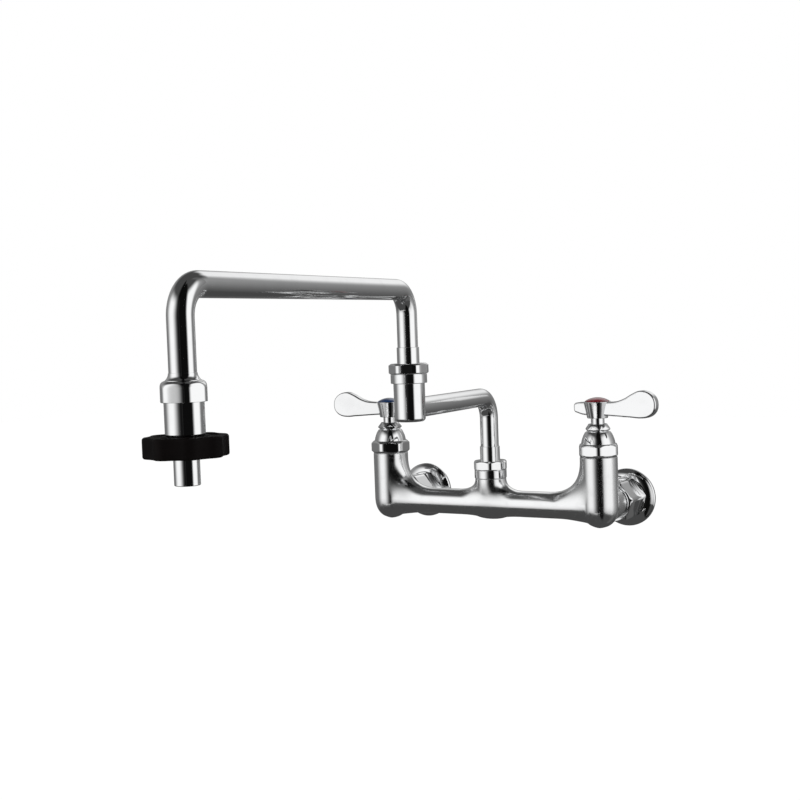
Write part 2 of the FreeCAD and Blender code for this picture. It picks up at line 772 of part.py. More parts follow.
def make_outlet_coupling_nut():
    top = outlet_nut_bottom + outlet_nut_height
    corner = outlet_nut_corners / 2
    shoulder_middle = (corner - outlet_nut_top_radius) * math.sqrt(0.5) + outlet_nut_top_radius
    shoulder_drop = outlet_nut_shoulder * (1 - math.sqrt(0.5))
    envelope = turned(
        (0, outlet_nut_bottom), (corner - edge_round, outlet_nut_bottom),
        (corner, outlet_nut_bottom + edge_round), (corner, top - outlet_nut_shoulder),
        (shoulder_middle, top - shoulder_drop, outlet_nut_top_radius, top), (0, top))
    nut = hexagon(outlet_nut_flats, outlet_nut_bottom, top, outlet_nut_turn).common(envelope)
    cavity_top = collar_bottom + collar_shoulder_height + seat_clearance
    nut = nut.cut(rod(throttle_thread_radius + thread_clearance, outlet_nut_bottom, cavity_top))
    return nut.cut(rod(collar_neck_radius + seat_clearance, outlet_nut_bottom, top))


def make_outlet_gasket():
    thread_top = outlet_nut_bottom + throttle_thread_length
    return ring(tube_radius - tube_wall, collar_shoulder_radius, thread_top, collar_bottom)


throttle_seat = outlet_nut_bottom + throttle_thread_length - throttle_partition
throttle_moving_top = throttle_seat - throttle_disc_thickness
spindle_top = throttle_moving_top - throttle_moving_thickness
spindle_shoulder = spindle_top - spindle_head_length


def make_throttle_body():
    thread_top = outlet_nut_bottom + throttle_thread_length
    body = turned((0, throttle_bottom), (throttle_radius - edge_round, throttle_bottom),
                  (throttle_radius, throttle_bottom + edge_round), (throttle_radius, outlet_nut_bottom),
                  (throttle_thread_radius, outlet_nut_bottom), (throttle_thread_radius, thread_top),
                  (0, thread_top))
    body = body.cut(rod(throttle_way, throttle_bottom, thread_top))
    body = body.cut(rod(throttle_bore, throttle_bottom, throttle_seat))
    clip_top = spindle_shoulder - seat_clearance
    return body.cut(rod(throttle_bore + circlip_bite, clip_top - circlip_thickness, clip_top))


def make_throttle_fixed_disc():
    disc = rod(throttle_bore - seat_clearance, throttle_moving_top, throttle_seat)
    opening = half_moon(throttle_opening, throttle_opening_start, throttle_moving_top, throttle_seat)
    return disc.cut(opening)


def make_throttle_moving_disc():
    disc = rod(throttle_bore - running_clearance, spindle_top, throttle_moving_top)
    opening = half_moon(throttle_opening, throttle_opening_start, spindle_top, throttle_moving_top)
    slot = box(2 * throttle_bore, drive_key_width + 2 * seat_clearance, spindle_top,
               spindle_top + drive_key_depth + seat_clearance)
    return disc.cut(moved(opening, 0, 0, 180)).cut(slot)


def make_outlet_tube():
    head_radius = throttle_bore - running_clearance
    body = turned((0, outlet_end), (outlet_radius - edge_round, outlet_end),
                  (outlet_radius, outlet_end + edge_round), (outlet_radius, wheel_bottom),
                  (spindle_radius, wheel_bottom), (spindle_radius, spindle_shoulder),
                  (head_radius, spindle_shoulder), (head_radius, spindle_top), (0, spindle_top))
    pocket_top = spindle_top - throttle_disc_thickness
    body = body.cut(rod(outlet_bore, outlet_end, pocket_top))
    opening = half_moon(throttle_opening, throttle_opening_start, pocket_top - edge_round, spindle_top)
    body = body.cut(moved(opening, 0, 0, 180))
    body = body.cut(seal_groove(head_radius, spindle_seal_section, spindle_top - spindle_seal_drop))
    key = box(throttle_bore, drive_key_width, spindle_top, spindle_top + drive_key_depth)
    return body.fuse(key).removeSplitter()


def make_throttle_o_ring():
    return o_ring(throttle_bore - running_clearance, spindle_seal_section, spindle_top - spindle_seal_drop)


def make_throttle_circlip():
    top = spindle_shoulder - seat_clearance
    clip = ring(spindle_radius + face_clearance, throttle_bore + circlip_bite - seat_clearance,
                top - circlip_thickness, top)
    split = Part.makeBox(2 * throttle_bore, swivel_ring_gap, circlip_thickness,
                         FreeCAD.Vector(0, -swivel_ring_gap / 2, top - circlip_thickness))
    return clip.cut(split)


def wheel_outline(height):
    """Closed line of lobes and flutes, each an arc tangent to the next."""
    half_step = math.pi / wheel_lobes
    lobe_centre = wheel_radius - wheel_lobe_radius
    flute = (lobe_centre ** 2 + wheel_flute_radius ** 2
             - 2 * lobe_centre * wheel_flute_radius * math.cos(half_step) - wheel_lobe_radius ** 2)
    flute = flute / (2 * (wheel_lobe_radius - wheel_flute_radius + lobe_centre * math.cos(half_step)))
    flute_centre = wheel_flute_radius + flute

    def at(radius, angle):
        return FreeCAD.Vector(radius * math.cos(angle), radius * math.sin(angle), height)

    def joint(lobe_angle, flute_angle):
        start = at(lobe_centre, lobe_angle)
        towards = (at(flute_centre, flute_angle) - start).normalize()
        return start + towards * wheel_lobe_radius

    edges = []
    for index in range(wheel_lobes):
        angle = 2 * half_step * index
        before = joint(angle, angle - half_step)
        after = joint(angle, angle + half_step)
        following = joint(angle + 2 * half_step, angle + half_step)
        edges.append(Part.Arc(before, at(wheel_radius, angle), after).toShape())
        edges.append(Part.Arc(after, at(wheel_flute_radius, angle + half_step), following).toShape())
    return Part.Wire(edges)


def set_screw_height():
    return wheel_bottom + wheel_height - wheel_web / 2


def make_hand_wheel():
    top = wheel_bottom + wheel_height
    wheel = Part.Face(wheel_outline(wheel_bottom)).extrude(FreeCAD.Vector(0, 0, wheel_height))
    rim_edges = [edge for edge in wheel.Edges
                 if abs(edge.BoundBox.ZMax - edge.BoundBox.ZMin) < wheel_edge / 10]
    wheel = wheel.makeFillet(wheel_edge, rim_edges)
    hollow = ring(wheel_hub_radius, wheel_flute_radius - wheel_rim, wheel_bottom, top - wheel_web)
    wheel = wheel.cut(hollow).cut(rod(spindle_radius + seat_clearance, wheel_bottom, top))
    hole = Part.makeCylinder(set_screw_radius + seat_clearance, wheel_radius,
                             FreeCAD.Vector(0, 0, set_screw_height()), UP.cross(FreeCAD.Vector(1, 0, 0)))
    return wheel.cut(moved(hole, 0, 0, 180 / wheel_lobes))


def make_wheel_set_screw():
    start = FreeCAD.Vector(0, spindle_radius + seat_clearance, set_screw_height())
    screw = Part.makeCylinder(set_screw_radius, set_screw_length, start, FreeCAD.Vector(0, 1, 0))
    return moved(screw, 0, 0, 180 / wheel_lobes)


# Every piece in its place

pieces = {"mixer_body": make_mixer_body()}

for name, side, bonnet_turn in (("left", -1, bonnet_turn_left), ("right", 1, bonnet_turn_right)):
    x = side * half_spacing
    pieces["wall_flange_" + name] = moved(make_wall_flange(), x, 0)
    pieces["coupling_nut_" + name] = moved(make_coupling_nut(), x, 0)
    pieces["coupling_washer_" + name] = moved(make_coupling_washer(), x, 0)
    fixed = {
        "seat_gasket": make_seat_gasket(),
        "fixed_disc": make_fixed_disc(),
        "cartridge_body": make_cartridge_body(),
        "cartridge_gasket": make_cartridge_gasket(),
        "bonnet": make_bonnet(bonnet_turn),
        "packing_ring": make_packing_ring(),
        "packing_nut": make_packing_nut(),
    }
    for piece, shape in fixed.items():
        pieces[piece + "_" + name] = moved(shape, x, -valve_reach)
    turning = {
        "moving_disc": make_moving_disc(),
        "valve_stem": make_valve_stem(),
        "stem_o_rings": make_stem_o_rings(),
        "lever_handle": make_lever_handle(),
        "handle_screw": make_handle_screw(),
        "index_button": make_index_button(),
    }
    lever_turn = -lever_rest_turn if side > 0 else 180 + lever_rest_turn
    for piece, shape in turning.items():
        pieces[piece + "_" + name] = moved(shape, x, -valve_reach, lever_turn)

for name, x, y, shoulder, nut_turn in (
        ("base", 0, -valve_reach, boss_top, base_nut_turn),
        ("elbow", elbow_x, elbow_y, cup_top, elbow_nut_turn)):
    pieces[name + "_thrust_washer"] = moved(make_thrust_washer(shoulder), x, y)
    pieces[name + "_o_rings"] = moved(make_swivel_o_rings(shoulder), x, y)
    pieces[name + "_retaining_ring"] = moved(make_retaining_ring(shoulder), x, y)
    pieces[name + "_swivel_nut"] = moved(make_swivel_nut(shoulder, nut_turn), x, y)
    pieces[name + "_spigot"] = moved(make_spigot(shoulder), x, y)

pieces["lower_arm_tube"] = make_lower_arm_tube()
pieces["elbow_cup"] = moved(make_elbow_cup(), elbow_x, elbow_y)
pieces["upper_arm_tube"] = make_upper_arm_tube()

outlet = {
    "outlet_collar": make_outlet_collar(),
    "outlet_coupling_nut": make_outlet_coupling_nut(),
    "outlet_gasket": make_outlet_gasket(),
    "throttle_body": make_throttle_body(),
    "throttle_fixed_disc": make_throttle_fixed_disc(),
    "throttle_moving_disc": make_throttle_moving_disc(),
    "throttle_o_ring": make_throttle_o_ring(),
    "throttle_circlip": make_throttle_circlip(),
    "outlet_tube": make_outlet_tube(),
    "hand_wheel": make_hand_wheel(),
    "wheel_set_screw": make_wheel_set_screw(),
}
for piece, shape in outlet.items():
    pieces[piece] = moved(shape, outlet_x, outlet_y)

os.makedirs("parts", exist_ok=True)
for name, shape in pieces.items():
    shape.exportStep("parts/" + name + ".step")
    print(name, len(shape.Solids), "solid", "valid" if shape.isValid() else "NOT VALID",
          round(shape.Volume, 1))
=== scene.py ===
import math

import bpy
import numpy as np
from mathutils import Euler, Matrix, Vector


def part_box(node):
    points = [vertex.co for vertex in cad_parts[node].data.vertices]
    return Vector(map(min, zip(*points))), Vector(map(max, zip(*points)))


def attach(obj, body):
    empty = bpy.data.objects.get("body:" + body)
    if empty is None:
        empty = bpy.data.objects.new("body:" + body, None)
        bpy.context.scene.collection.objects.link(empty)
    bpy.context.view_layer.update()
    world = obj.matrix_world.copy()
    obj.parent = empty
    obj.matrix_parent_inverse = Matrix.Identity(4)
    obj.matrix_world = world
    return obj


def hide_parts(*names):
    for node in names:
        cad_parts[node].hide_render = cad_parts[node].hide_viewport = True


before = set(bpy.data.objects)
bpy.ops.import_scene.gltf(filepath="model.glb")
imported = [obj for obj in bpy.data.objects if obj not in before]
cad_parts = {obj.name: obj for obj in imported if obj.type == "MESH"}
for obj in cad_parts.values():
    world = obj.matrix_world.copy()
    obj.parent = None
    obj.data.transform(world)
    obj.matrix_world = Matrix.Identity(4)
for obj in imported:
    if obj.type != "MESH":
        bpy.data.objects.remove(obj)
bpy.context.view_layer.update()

# Wall-mounted two-lever mixer. Outlines are in millimetres, and MM turns each mesh into metres once.
MM = 0.001

# Rounding of machined and buffed edges and of a nut's corners, and the share of a side it may take
EDGE = 0.35
FINE_EDGE = 0.15
CORNER_SOFTNESS = 1.0
CORNER_ROOM = 0.45
# Degrees for each step of a rounding, steps along a bow and round a piece, and the gap round a fit
CORNER_STEP = 15
BOW_STEPS = 14
ROUND_STEPS = 96
HEXAGON_STEPS = 216
CLEARANCE = 0.05

# Nuts: across the flats, across the turned-down corners, and the first corner's turn in degrees
WALL_FLATS, WALL_CORNERS, WALL_TURN = 33.0, 37.6, 8.0
BONNET_FLATS, BONNET_CORNERS = 32.2, 35.0
BONNET_TURNS = {"left": 31.0, "right": -8.0}
PACKING_FLATS, PACKING_CORNERS = 20.0, 21.8
PACKING_TURNS = {"left": 33.0, "right": 0.0}
SWIVEL_FLATS, SWIVEL_CORNERS = 28.6, 31.0
SWIVEL_TURNS = {"base": 55.0, "elbow": 24.5}
OUTLET_FLATS, OUTLET_CORNERS, OUTLET_TURN = 26.0, 27.8, 15.0
NUT_CHAMFER = 1.3
BONNET_CHAMFER = 2.1

# Casting: radii of its rods, where its steps and blends lie, and the grid that its skin is found on
CROSSBAR_RADIUS = 11.4
BARREL_RADIUS = 15.8
BOSS_RADIUS = 13.6
NECK_RADIUS = 14.3
NECK_THREAD_RADIUS = 12.5
NECK_STEP = 39.8
SWIVEL_THREAD_RADIUS = 12.0
SWIVEL_THREAD_DROP = 6.4
SOCKET_ROOT = 4.0
BARREL_FILLET = 26.0
BOSS_FILLET = 11.0
NECK_FILLET = 5.0
FILLET_SHARE = 1.17
LEAST_BLEND = 0.8
TOP_EDGE = 1.0
TOP_REACH = 30.0
CASTING_GRID = 0.85
CASTING_MARGIN = 2.0
SKIN_SWEEPS = 5
LEAST_STEEPNESS = 0.05
# A barrel's foot is a ball stretched downwards: where it starts, its radius over its depth, fullness
FOOT_START = 3.0
FOOT_SHARE = 0.79
FOOT_FULLNESS = 2.4
# The boss's foot draws in behind the crossbar's front and spreads along it, from a height downwards
BOSS_NARROWING = 0.24
BOSS_SPREAD = 0.45
BOSS_FOOT_START = 20.0
BOSS_FOOT_DEPTH = 24.0

# Wall connections, with heights from the wall: flange, hexagon, tail, and the union nut in front
INLET_BORE = 7.0
FLANGE_RADIUS, FLANGE_RIM = 25.4, 3.0
FLANGE_FACE_RADIUS, FLANGE_FACE_HEIGHT = 17.2, 7.0
FLANGE_BOW = 0.5
WALL_HEXAGON_SPAN = (6.0, 18.1)
TAIL_RADIUS, TAIL_END = 10.3, 27.1
UNION_NUT_SPAN = (18.9, 39.4)
UNION_NUT_LIP = 6.0

# Valves: stem hole, bonnet, packing nut and button
STEM_HOLE = 5.75
DOME_HEIGHT = 10.2
BONNET_HEXAGON_HEIGHT = 10.9
BONNET_CAVITY = 9.0
BONNET_ROOF = 5.0
DOME_FOOT_RADIUS, DOME_TOP_RADIUS = 14.3, 10.6
DOME_BOW = 0.6
PACKING_FOOT_RADIUS, PACKING_TOP_RADIUS = 8.6, 7.9
PACKING_BROW_FOOT, PACKING_BROW_TOP = 2.1, 2.7
BUTTON_PLUG_RADIUS, BUTTON_PLUG_LENGTH = 6.4, 2.4
BUTTON_SIDE = 0.6
BUTTON_STEPS = 16

# Levers: the blade's direction at rest in degrees, the cone round the stem, and its stepped hole
LEVER_TURNS = {"left": 187.0, "right": -7.0}
CONE_FOOT_RADIUS, CONE_TOP_RADIUS = 8.6, 11.7
PLUG_HOLE = 6.6
SCREW_HEAD_HOLE, SCREW_HEAD_DROP = 3.9, 2.2
SCREW_HOLE = 2.1
LEVER_STEM_HOLE = 5.7
SEAT_GAP = 0.1
BLADE_EDGE = 1.5
BLADE_STEPS = 8
BLADE_EDGE_ANGLES = (-90, -75, -60, -45, -30, -15, 0)
# Sections of the blade and of the stub behind the stem: distance from the stem, lowest and highest
# above the lever's foot, and half the thickness
BLADE_SECTIONS = (
    (6.8, 2.3, 13.5, 4.4), (13.0, 2.0, 13.8, 4.3), (20.0, 1.6, 14.5, 4.2), (26.5, 1.2, 16.7, 4.1),
    (33.5, 0.8, 20.5, 4.0), (40.5, 0.3, 23.2, 3.9), (46.5, 0.9, 22.6, 3.8), (50.6, 2.8, 20.5, 3.8),
    (53.4, 5.6, 17.6, 3.7), (54.7, 8.6, 14.6, 3.7), (55.0, 11.2, 12.0, 3.7),
)
STUB_SECTIONS = (
    (6.8, 2.4, 13.4, 4.4), (12.5, 2.9, 13.4, 4.3), (17.0, 4.2, 13.2, 4.1), (19.4, 5.0, 12.6, 4.0),
    (20.4, 6.3, 11.4, 4.0), (20.7, 8.4, 9.4, 4.0),
)

# Swivels and elbow cup
SWIVEL_HEXAGON_HEIGHT = 8.4
SKIRT_RADIUS = 14.1
SPIGOT_RADIUS, SPIGOT_BORE = 8.65, 5.6
SWIVEL_BORE = 8.75
CUP_RADIUS, CUP_EDGE, CUP_DEPTH = 12.15, 3.0, 13.0
CUP_TUBE_ENTRY = 9.4

# Tubes, and how deep they sit in their spigots
TUBE_RADIUS, TUBE_BORE = 7.94, 6.94
BEND_RADIUS = 19.0
BEND_STEPS = 28
TUBE_SEAT = 13.7

# Outlet: collar on the tube, coupling nut, throttle barrel and spout
COLLAR_RADIUS, COLLAR_TOP_RADIUS = 10.3, 8.1
COLLAR_BOW = -0.45
OUTLET_NUT_BORE = 8.95
OUTLET_NUT_SHOULDER, OUTLET_NUT_TOP_RADIUS = 3.8, 11.0
OUTLET_NUT_BOW = 0.55
THROTTLE_RADIUS, THROTTLE_BORE = 11.4, 9.0
THROTTLE_THREAD_RADIUS, THROTTLE_THREAD_LENGTH = 10.4, 4.0
SPOUT_RADIUS, SPOUT_BORE = 7.45, 6.2
SPINDLE_RADIUS, SPINDLE_HEAD_RADIUS, SPINDLE_HEAD_LENGTH, SPINDLE_END = 7.9, 8.94, 7.2, 1.0

# Hand wheel: lobed grip, recess below its web, dish above it, and the hub round the spindle
WHEEL_RADIUS, WHEEL_FLUTE_RADIUS = 24.3, 22.2
WHEEL_LOBE_RADIUS, WHEEL_LOBES = 7.0, 8
WHEEL_STEPS = 384
WHEEL_BORE, WHEEL_HUB_RADIUS = 8.0, 11.3
WHEEL_HUB_LIFT = 0.2
WHEEL_WEB_DROP = 4.6
WHEEL_RECESS_RADIUS = 18.6
WHEEL_DISH_DEPTH, WHEEL_DISH_RADIUS = 1.0, 14.2
WHEEL_RIM_START, WHEEL_RIM_WIDTH = 19.0, 3.0

# Camera at the photograph's viewing angle, for a square picture
CAMERA_PLACE = (0.50827, -1.08786, 0.15702)
CAMERA_TURN = (86.795, 1.987, 30.275)
CAMERA_LENS = 58.384
CAMERA_SENSOR = 36.0

# Studio in metres: a pale floor far below, and a grey surround that only the metal sees
FLOOR_HEIGHT = -1.2
FLOOR_RADIUS = 16.0
FLOOR_COLOUR = 0.5
FLOOR_GLOW = 0.52
SURROUND_RADIUS = 2.6
SURROUND_CENTRE = (0.0, -0.25, 0.08)
SURROUND_COLUMNS, SURROUND_ROWS = 96, 48
# Windows of the surround in degrees: each edge and how far it fades, then the share of white let in
WINDOWS = (
    (1.0, dict(Left=-152.0, Left_Fade=22.0, Right=-99.0, Right_Fade=17.0,
               Foot=-26.0, Foot_Fade=28.0, Head=39.0, Head_Fade=12.0)),
    (1.0, dict(Left=-39.0, Left_Fade=28.0, Right=45.0, Right_Fade=16.0,
               Foot=-25.0, Foot_Fade=26.0, Head=42.0, Head_Fade=12.0)),
    (0.85, dict(Left=77.0, Left_Fade=11.0, Right=122.0, Right_Fade=10.0,
                Foot=17.5, Foot_Fade=9.0, Head=50.0, Head_Fade=8.0)),
)
# Grey of the surround: round the middle, its gain per degree upwards, and far above and below
WALL_GREY = 0.19
WALL_SLOPE = 0.0042
LIMIT_GREY = 0.06
MIDDLE_BAND = dict(Left=-400.0, Right=400.0, Foot=-38.0, Foot_Fade=12.0, Head=34.0, Head_Fade=14.0)
# Nearly black upright strip of the surround, which draws the dark line down every round piece
DARK_STRIP = dict(Left=-84.0, Left_Fade=12.0, Right=-40.0, Right_Fade=6.0, Foot=-400.0, Head=400.0)
DARK_SHARE = 0.96
# Upright cards in metres: name, both sides in plan, lowest, highest, grey, the edge that it fades in
# from, how far it fades, and how much it covers. An edge says how far in each of the corners lies.
FROM_SIDE, FROM_FOOT = (0.0, 1.0, 1.0, 0.0), (0.0, 0.0, 1.0, 1.0)
CARDS = (
    ("black_card", (0.56, -0.43), (0.60, -1.5), -1.15, 2.4, 0.004, FROM_SIDE, 0.16, 1.0),
    ("side_card", (0.60, 0.0), (0.60, 0.5), -1.15, 2.4, 0.14, FROM_SIDE, 0.45, 0.6),
    ("small_card", (0.079, 0.13), (0.123, 0.13), 0.094, 0.2, 0.75, FROM_FOOT, 0.6, 1.0),
)
UNDER_CARD_REACH = 2.3
# Lamps: name, place and size in metres, and power
LAMPS = (("key_lamp", (-1.2, -1.9, 1.5), 1.0, 6.0), ("fill_lamp", (1.6, -1.6, 0.9), 1.2, 3.0))


def box_of(node):
    """Lowest and highest corner of a node at rest, in millimetres."""
    low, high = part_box(node)
    return np.array(low) / MM, np.array(high) / MM


def axis_of(node):
    """Upright axis through the middle of a node, in plan."""
    low, high = box_of(node)
    return (low[0] + high[0]) / 2, (low[1] + high[1]) / 2


def heights_of(node):
    """Heights of a node's foot and top."""
    low, high = box_of(node)
    return low[2], high[2]


# Shader nodes

def feed(tree, node, **inputs):
    """Sets or links inputs, each named as its socket with _ for a space, or by its place as i0, i1."""
    for key, value in inputs.items():
        by_place = key[0] == "i" and key[1:].isdigit()
        socket = node.inputs[int(key[1:]) if by_place else key.replace("_", " ")]
        if isinstance(value, bpy.types.NodeSocket):
            tree.links.new(value, socket)
        else:
            socket.default_value = value
    return node


def add(tree, kind, settings=None, **inputs):
    made = tree.nodes.new("ShaderNode" + kind)
    for key, value in (settings or {}).items():
        setattr(made, key, value)
    return feed(tree, made, **inputs)


def group_tree(name, inputs, outputs):
    """Empty shader node group of numbers; an input whose default is None is a place."""
    tree = bpy.data.node_groups.new(name, "ShaderNodeTree")
    for label, default in inputs.items():
        kind = "NodeSocketVector" if default is None else "NodeSocketFloat"
        socket = tree.interface.new_socket(label, in_out="INPUT", socket_type=kind)
        if default is not None:
            socket.default_value = default
    for label in outputs:
        tree.interface.new_socket(label, in_out="OUTPUT", socket_type="NodeSocketFloat")
    return tree, tree.nodes.new("NodeGroupInput").outputs


def group_out(tree, **values):
    """Gives a shader node group what it puts out."""
    feed(tree, tree.nodes.new("NodeGroupOutput"), **values)
    return tree


def placed_group(tree, group, **inputs):
    return add(tree, "Group", {"node_tree": group}, **inputs)


def math_node(tree, operation, first, second=0.0, third=0.0):
    return add(tree, "Math", {"operation": operation}, i0=first, i1=second, i2=third).outputs[0]


def soft_step(tree, value, low, high):
    """0 at low, 1 at high, and smooth between them."""
    settings = {"interpolation_type": "SMOOTHSTEP"}
    return add(tree, "MapRange", settings, Value=value, From_Min=low, From_Max=high).outputs["Result"]


def noise(tree, place, scale, detail=2.0, roughness=0.5):
    made = add(tree, "TexNoise", Vector=place, Scale=scale, Detail=detail, Roughness=roughness)
    return made.outputs["Fac"]


def scaled(tree, place, x, y, z):
    return add(tree, "VectorMath", {"operation": "MULTIPLY"}, i0=place, i1=(x, y, z)).outputs[0]


def mixed(tree, factor, first, second):
    """Colour between two others."""
    made = add(tree, "Mix", {"data_type": "RGBA"}, Factor=factor, i6=first + (1.0,), i7=second + (1.0,))
    return made.outputs[2]


def bump(tree, height, depth_mm, before=None):
    made = add(tree, "Bump", Height=height, Distance=depth_mm * MM, Strength=1.0)
    if before is not None:
        feed(tree, made, Normal=before)
    return made.outputs["Normal"]


# Effects shared by several finishes. Places are in millimetres.

def make_lathe_marks():
    """Hairlines that run round a turned or buffed piece, from its place about its own axis."""
    tree, into = group_tree("lathe_marks", {"Place": None, "Pitch": 2.0}, ("Height", "Mask"))
    parts = add(tree, "SeparateXYZ", Vector=into["Place"])
    flat = add(tree, "CombineXYZ", X=parts.outputs["X"], Y=parts.outputs["Y"]).outputs[0]
    radius = add(tree, "VectorMath", {"operation": "LENGTH"}, i0=flat).outputs["Value"]
    travel = math_node(tree, "ADD", radius, parts.outputs["Z"])
    travel = math_node(tree, "MULTIPLY", travel, into["Pitch"])
    slow = add(tree, "SeparateXYZ", Vector=scaled(tree, flat, 0.05, 0.05, 0.0))
    line_place = add(tree, "CombineXYZ", X=slow.outputs["X"], Y=slow.outputs["Y"], Z=travel)
    lines = noise(tree, line_place.outputs[0], 1.0, detail=3.0, roughness=0.6)
    patches = noise(tree, into["Place"], 0.12)
    mask = math_node(tree, "MULTIPLY", lines, soft_step(tree, patches, 0.35, 0.65))
    return group_out(tree, Height=lines, Mask=mask)


def make_soft_ripple():
    """Long shallow waves that hand polishing leaves in a cast or formed surface."""
    tree, into = group_tree("soft_ripple", {"Place": None, "Wave Length": 12.0}, ("Height",))
    scale = math_node(tree, "DIVIDE", 1.0, into["Wave Length"])
    broad = noise(tree, into["Place"], scale, detail=1.0, roughness=0.4)
    finer = noise(tree, into["Place"], math_node(tree, "MULTIPLY", scale, 3.1), detail=0.0)
    return group_out(tree, Height=math_node(tree, "MULTIPLY_ADD", finer, 0.25, broad))


def make_handling_haze():
    """Where hands and dried water have dulled a bright surface: soft patches and a few spots."""
    tree, into = group_tree("handling_haze", {"Place": None, "Patch Size": 18.0}, ("Mask",))
    scale = math_node(tree, "DIVIDE", 1.0, into["Patch Size"])
    patches = noise(tree, into["Place"], scale, detail=4.0, roughness=0.6)
    patches = soft_step(tree, patches, 0.48, 0.72)
    cells = add(tree, "TexVoronoi", Vector=into["Place"], Scale=0.35)
    spots = soft_step(tree, cells.outputs["Distance"], 0.16, 0.10)
    few = soft_step(tree, noise(tree, into["Place"], 0.07), 0.55, 0.62)
    spots = math_node(tree, "MULTIPLY", math_node(tree, "MULTIPLY", spots, few), 0.5)
    return group_out(tree, Mask=math_node(tree, "MAXIMUM", patches, spots))


def make_fine_grain():
    """Matt grain of moulded plastic, rubber, fibre and machined metal."""
    tree, into = group_tree("fine_grain", {"Place": None, "Grain Size": 0.5}, ("Height", "Mask"))
    scale = math_node(tree, "DIVIDE", 1.0, into["Grain Size"])
    grains = noise(tree, into["Place"], scale, detail=3.0, roughness=0.65)
    clouds = noise(tree, into["Place"], math_node(tree, "MULTIPLY", scale, 0.06))
    return group_out(tree, Height=grains, Mask=clouds)


lathe_marks = make_lathe_marks()
soft_ripple = make_soft_ripple()
handling_haze = make_handling_haze()
fine_grain = make_fine_grain()


# Finishes

def empty_material(name):
    material = bpy.data.materials.new(name)
    material.use_nodes = True
    material.node_tree.nodes.clear()
    return material, material.node_tree


def new_finish(name):
    """Empty material with its shader, and the place in millimetres on pieces and on carried nodes."""
    material, tree = empty_material(name)
    shader = add(tree, "BsdfPrincipled")
    add(tree, "OutputMaterial", Surface=shader.outputs["BSDF"])
    place = scaled(tree, add(tree, "TexCoord").outputs["Object"], 1 / MM, 1 / MM, 1 / MM)
    return material, tree, shader, place


def turned_place(tree):
    """Place about the piece's own axis, stored with the mesh when it was turned."""
    return add(tree, "Attribute", {"attribute_name": "turned"}).outputs["Vector"]


def chrome(name, turned=True, wave=14.0, wave_depth=0.012, marks=2.2, mark_depth=0.0006,
           roughness=0.045, tint=(0.94, 0.945, 0.95)):
    """Buffed chrome plate: bright, with long waves, hairlines round the piece, and dulled patches."""
    material, tree, shader, place = new_finish(name)
    lines = placed_group(tree, lathe_marks, Place=turned_place(tree) if turned else place, Pitch=marks)
    waves = placed_group(tree, soft_ripple, Place=place, Wave_Length=wave)
    haze = placed_group(tree, handling_haze, Place=place, Patch_Size=16.0).outputs["Mask"]
    dulled = tuple(part * 0.96 for part in tint)
    rough = math_node(tree, "MULTIPLY_ADD", haze, 0.05, roughness)
    rough = math_node(tree, "MULTIPLY_ADD", lines.outputs["Mask"], 0.035, rough)
    normal = bump(tree, waves.outputs["Height"], wave_depth)
    normal = bump(tree, lines.outputs["Height"], mark_depth, normal)
    feed(tree, shader, Base_Color=mixed(tree, haze, tint, dulled), Metallic=1.0, Roughness=rough,
         Normal=normal)
    return material


def turned_metal(name, bright, dark, roughness):
    """Bare machined metal inside the valves: lathe lines in two tones, no plate."""
    material, tree, shader, place = new_finish(name)
    lines = placed_group(tree, lathe_marks, Place=place, Pitch=5.0).outputs["Height"]
    grain = placed_group(tree, fine_grain, Place=place, Grain_Size=0.8).outputs["Mask"]
    rough = math_node(tree, "MULTIPLY_ADD", grain, 0.15, roughness)
    feed(tree, shader, Base_Color=mixed(tree, lines, dark, bright), Metallic=1.0, Roughness=rough,
         Normal=bump(tree, lines, 0.006))
    return material


def moulded(name, colour, worn, grain_size, grain_depth, roughness, specular):
    """Matt moulded material: grain, clouded colour and a roughness that varies."""
    material, tree, shader, place = new_finish(name)
    grain = placed_group(tree, fine_grain, Place=place, Grain_Size=grain_size).outputs
    haze = placed_group(tree, handling_haze, Place=place, Patch_Size=9.0).outputs["Mask"]
    rough = math_node(tree, "MULTIPLY_ADD", haze, -0.10, roughness)
    feed(tree, shader, Base_Color=mixed(tree, grain["Mask"], colour, worn), Roughness=rough,
         Specular_IOR_Level=specular, Normal=bump(tree, grain["Height"], grain_depth))
    return material


def enamel(name, deep, bright):
    """Glossy coloured button under a clear layer, in clouds of two tones."""
    material, tree, shader, place = new_finish(name)
    clouds = placed_group(tree, fine_grain, Place=place, Grain_Size=1.4).outputs["Mask"]
    waves = placed_group(tree, soft_ripple, Place=place, Wave_Length=5.0).outputs["Height"]
    haze = placed_group(tree, handling_haze, Place=place, Patch_Size=6.0).outputs["Mask"]
    rough = math_node(tree, "MULTIPLY_ADD", haze, 0.12, 0.12)
    feed(tree, shader, Base_Color=mixed(tree, clouds, deep, bright), Roughness=rough,
         Normal=bump(tree, waves, 0.01), Coat_Weight=0.6, Coat_Roughness=0.05)
    return material


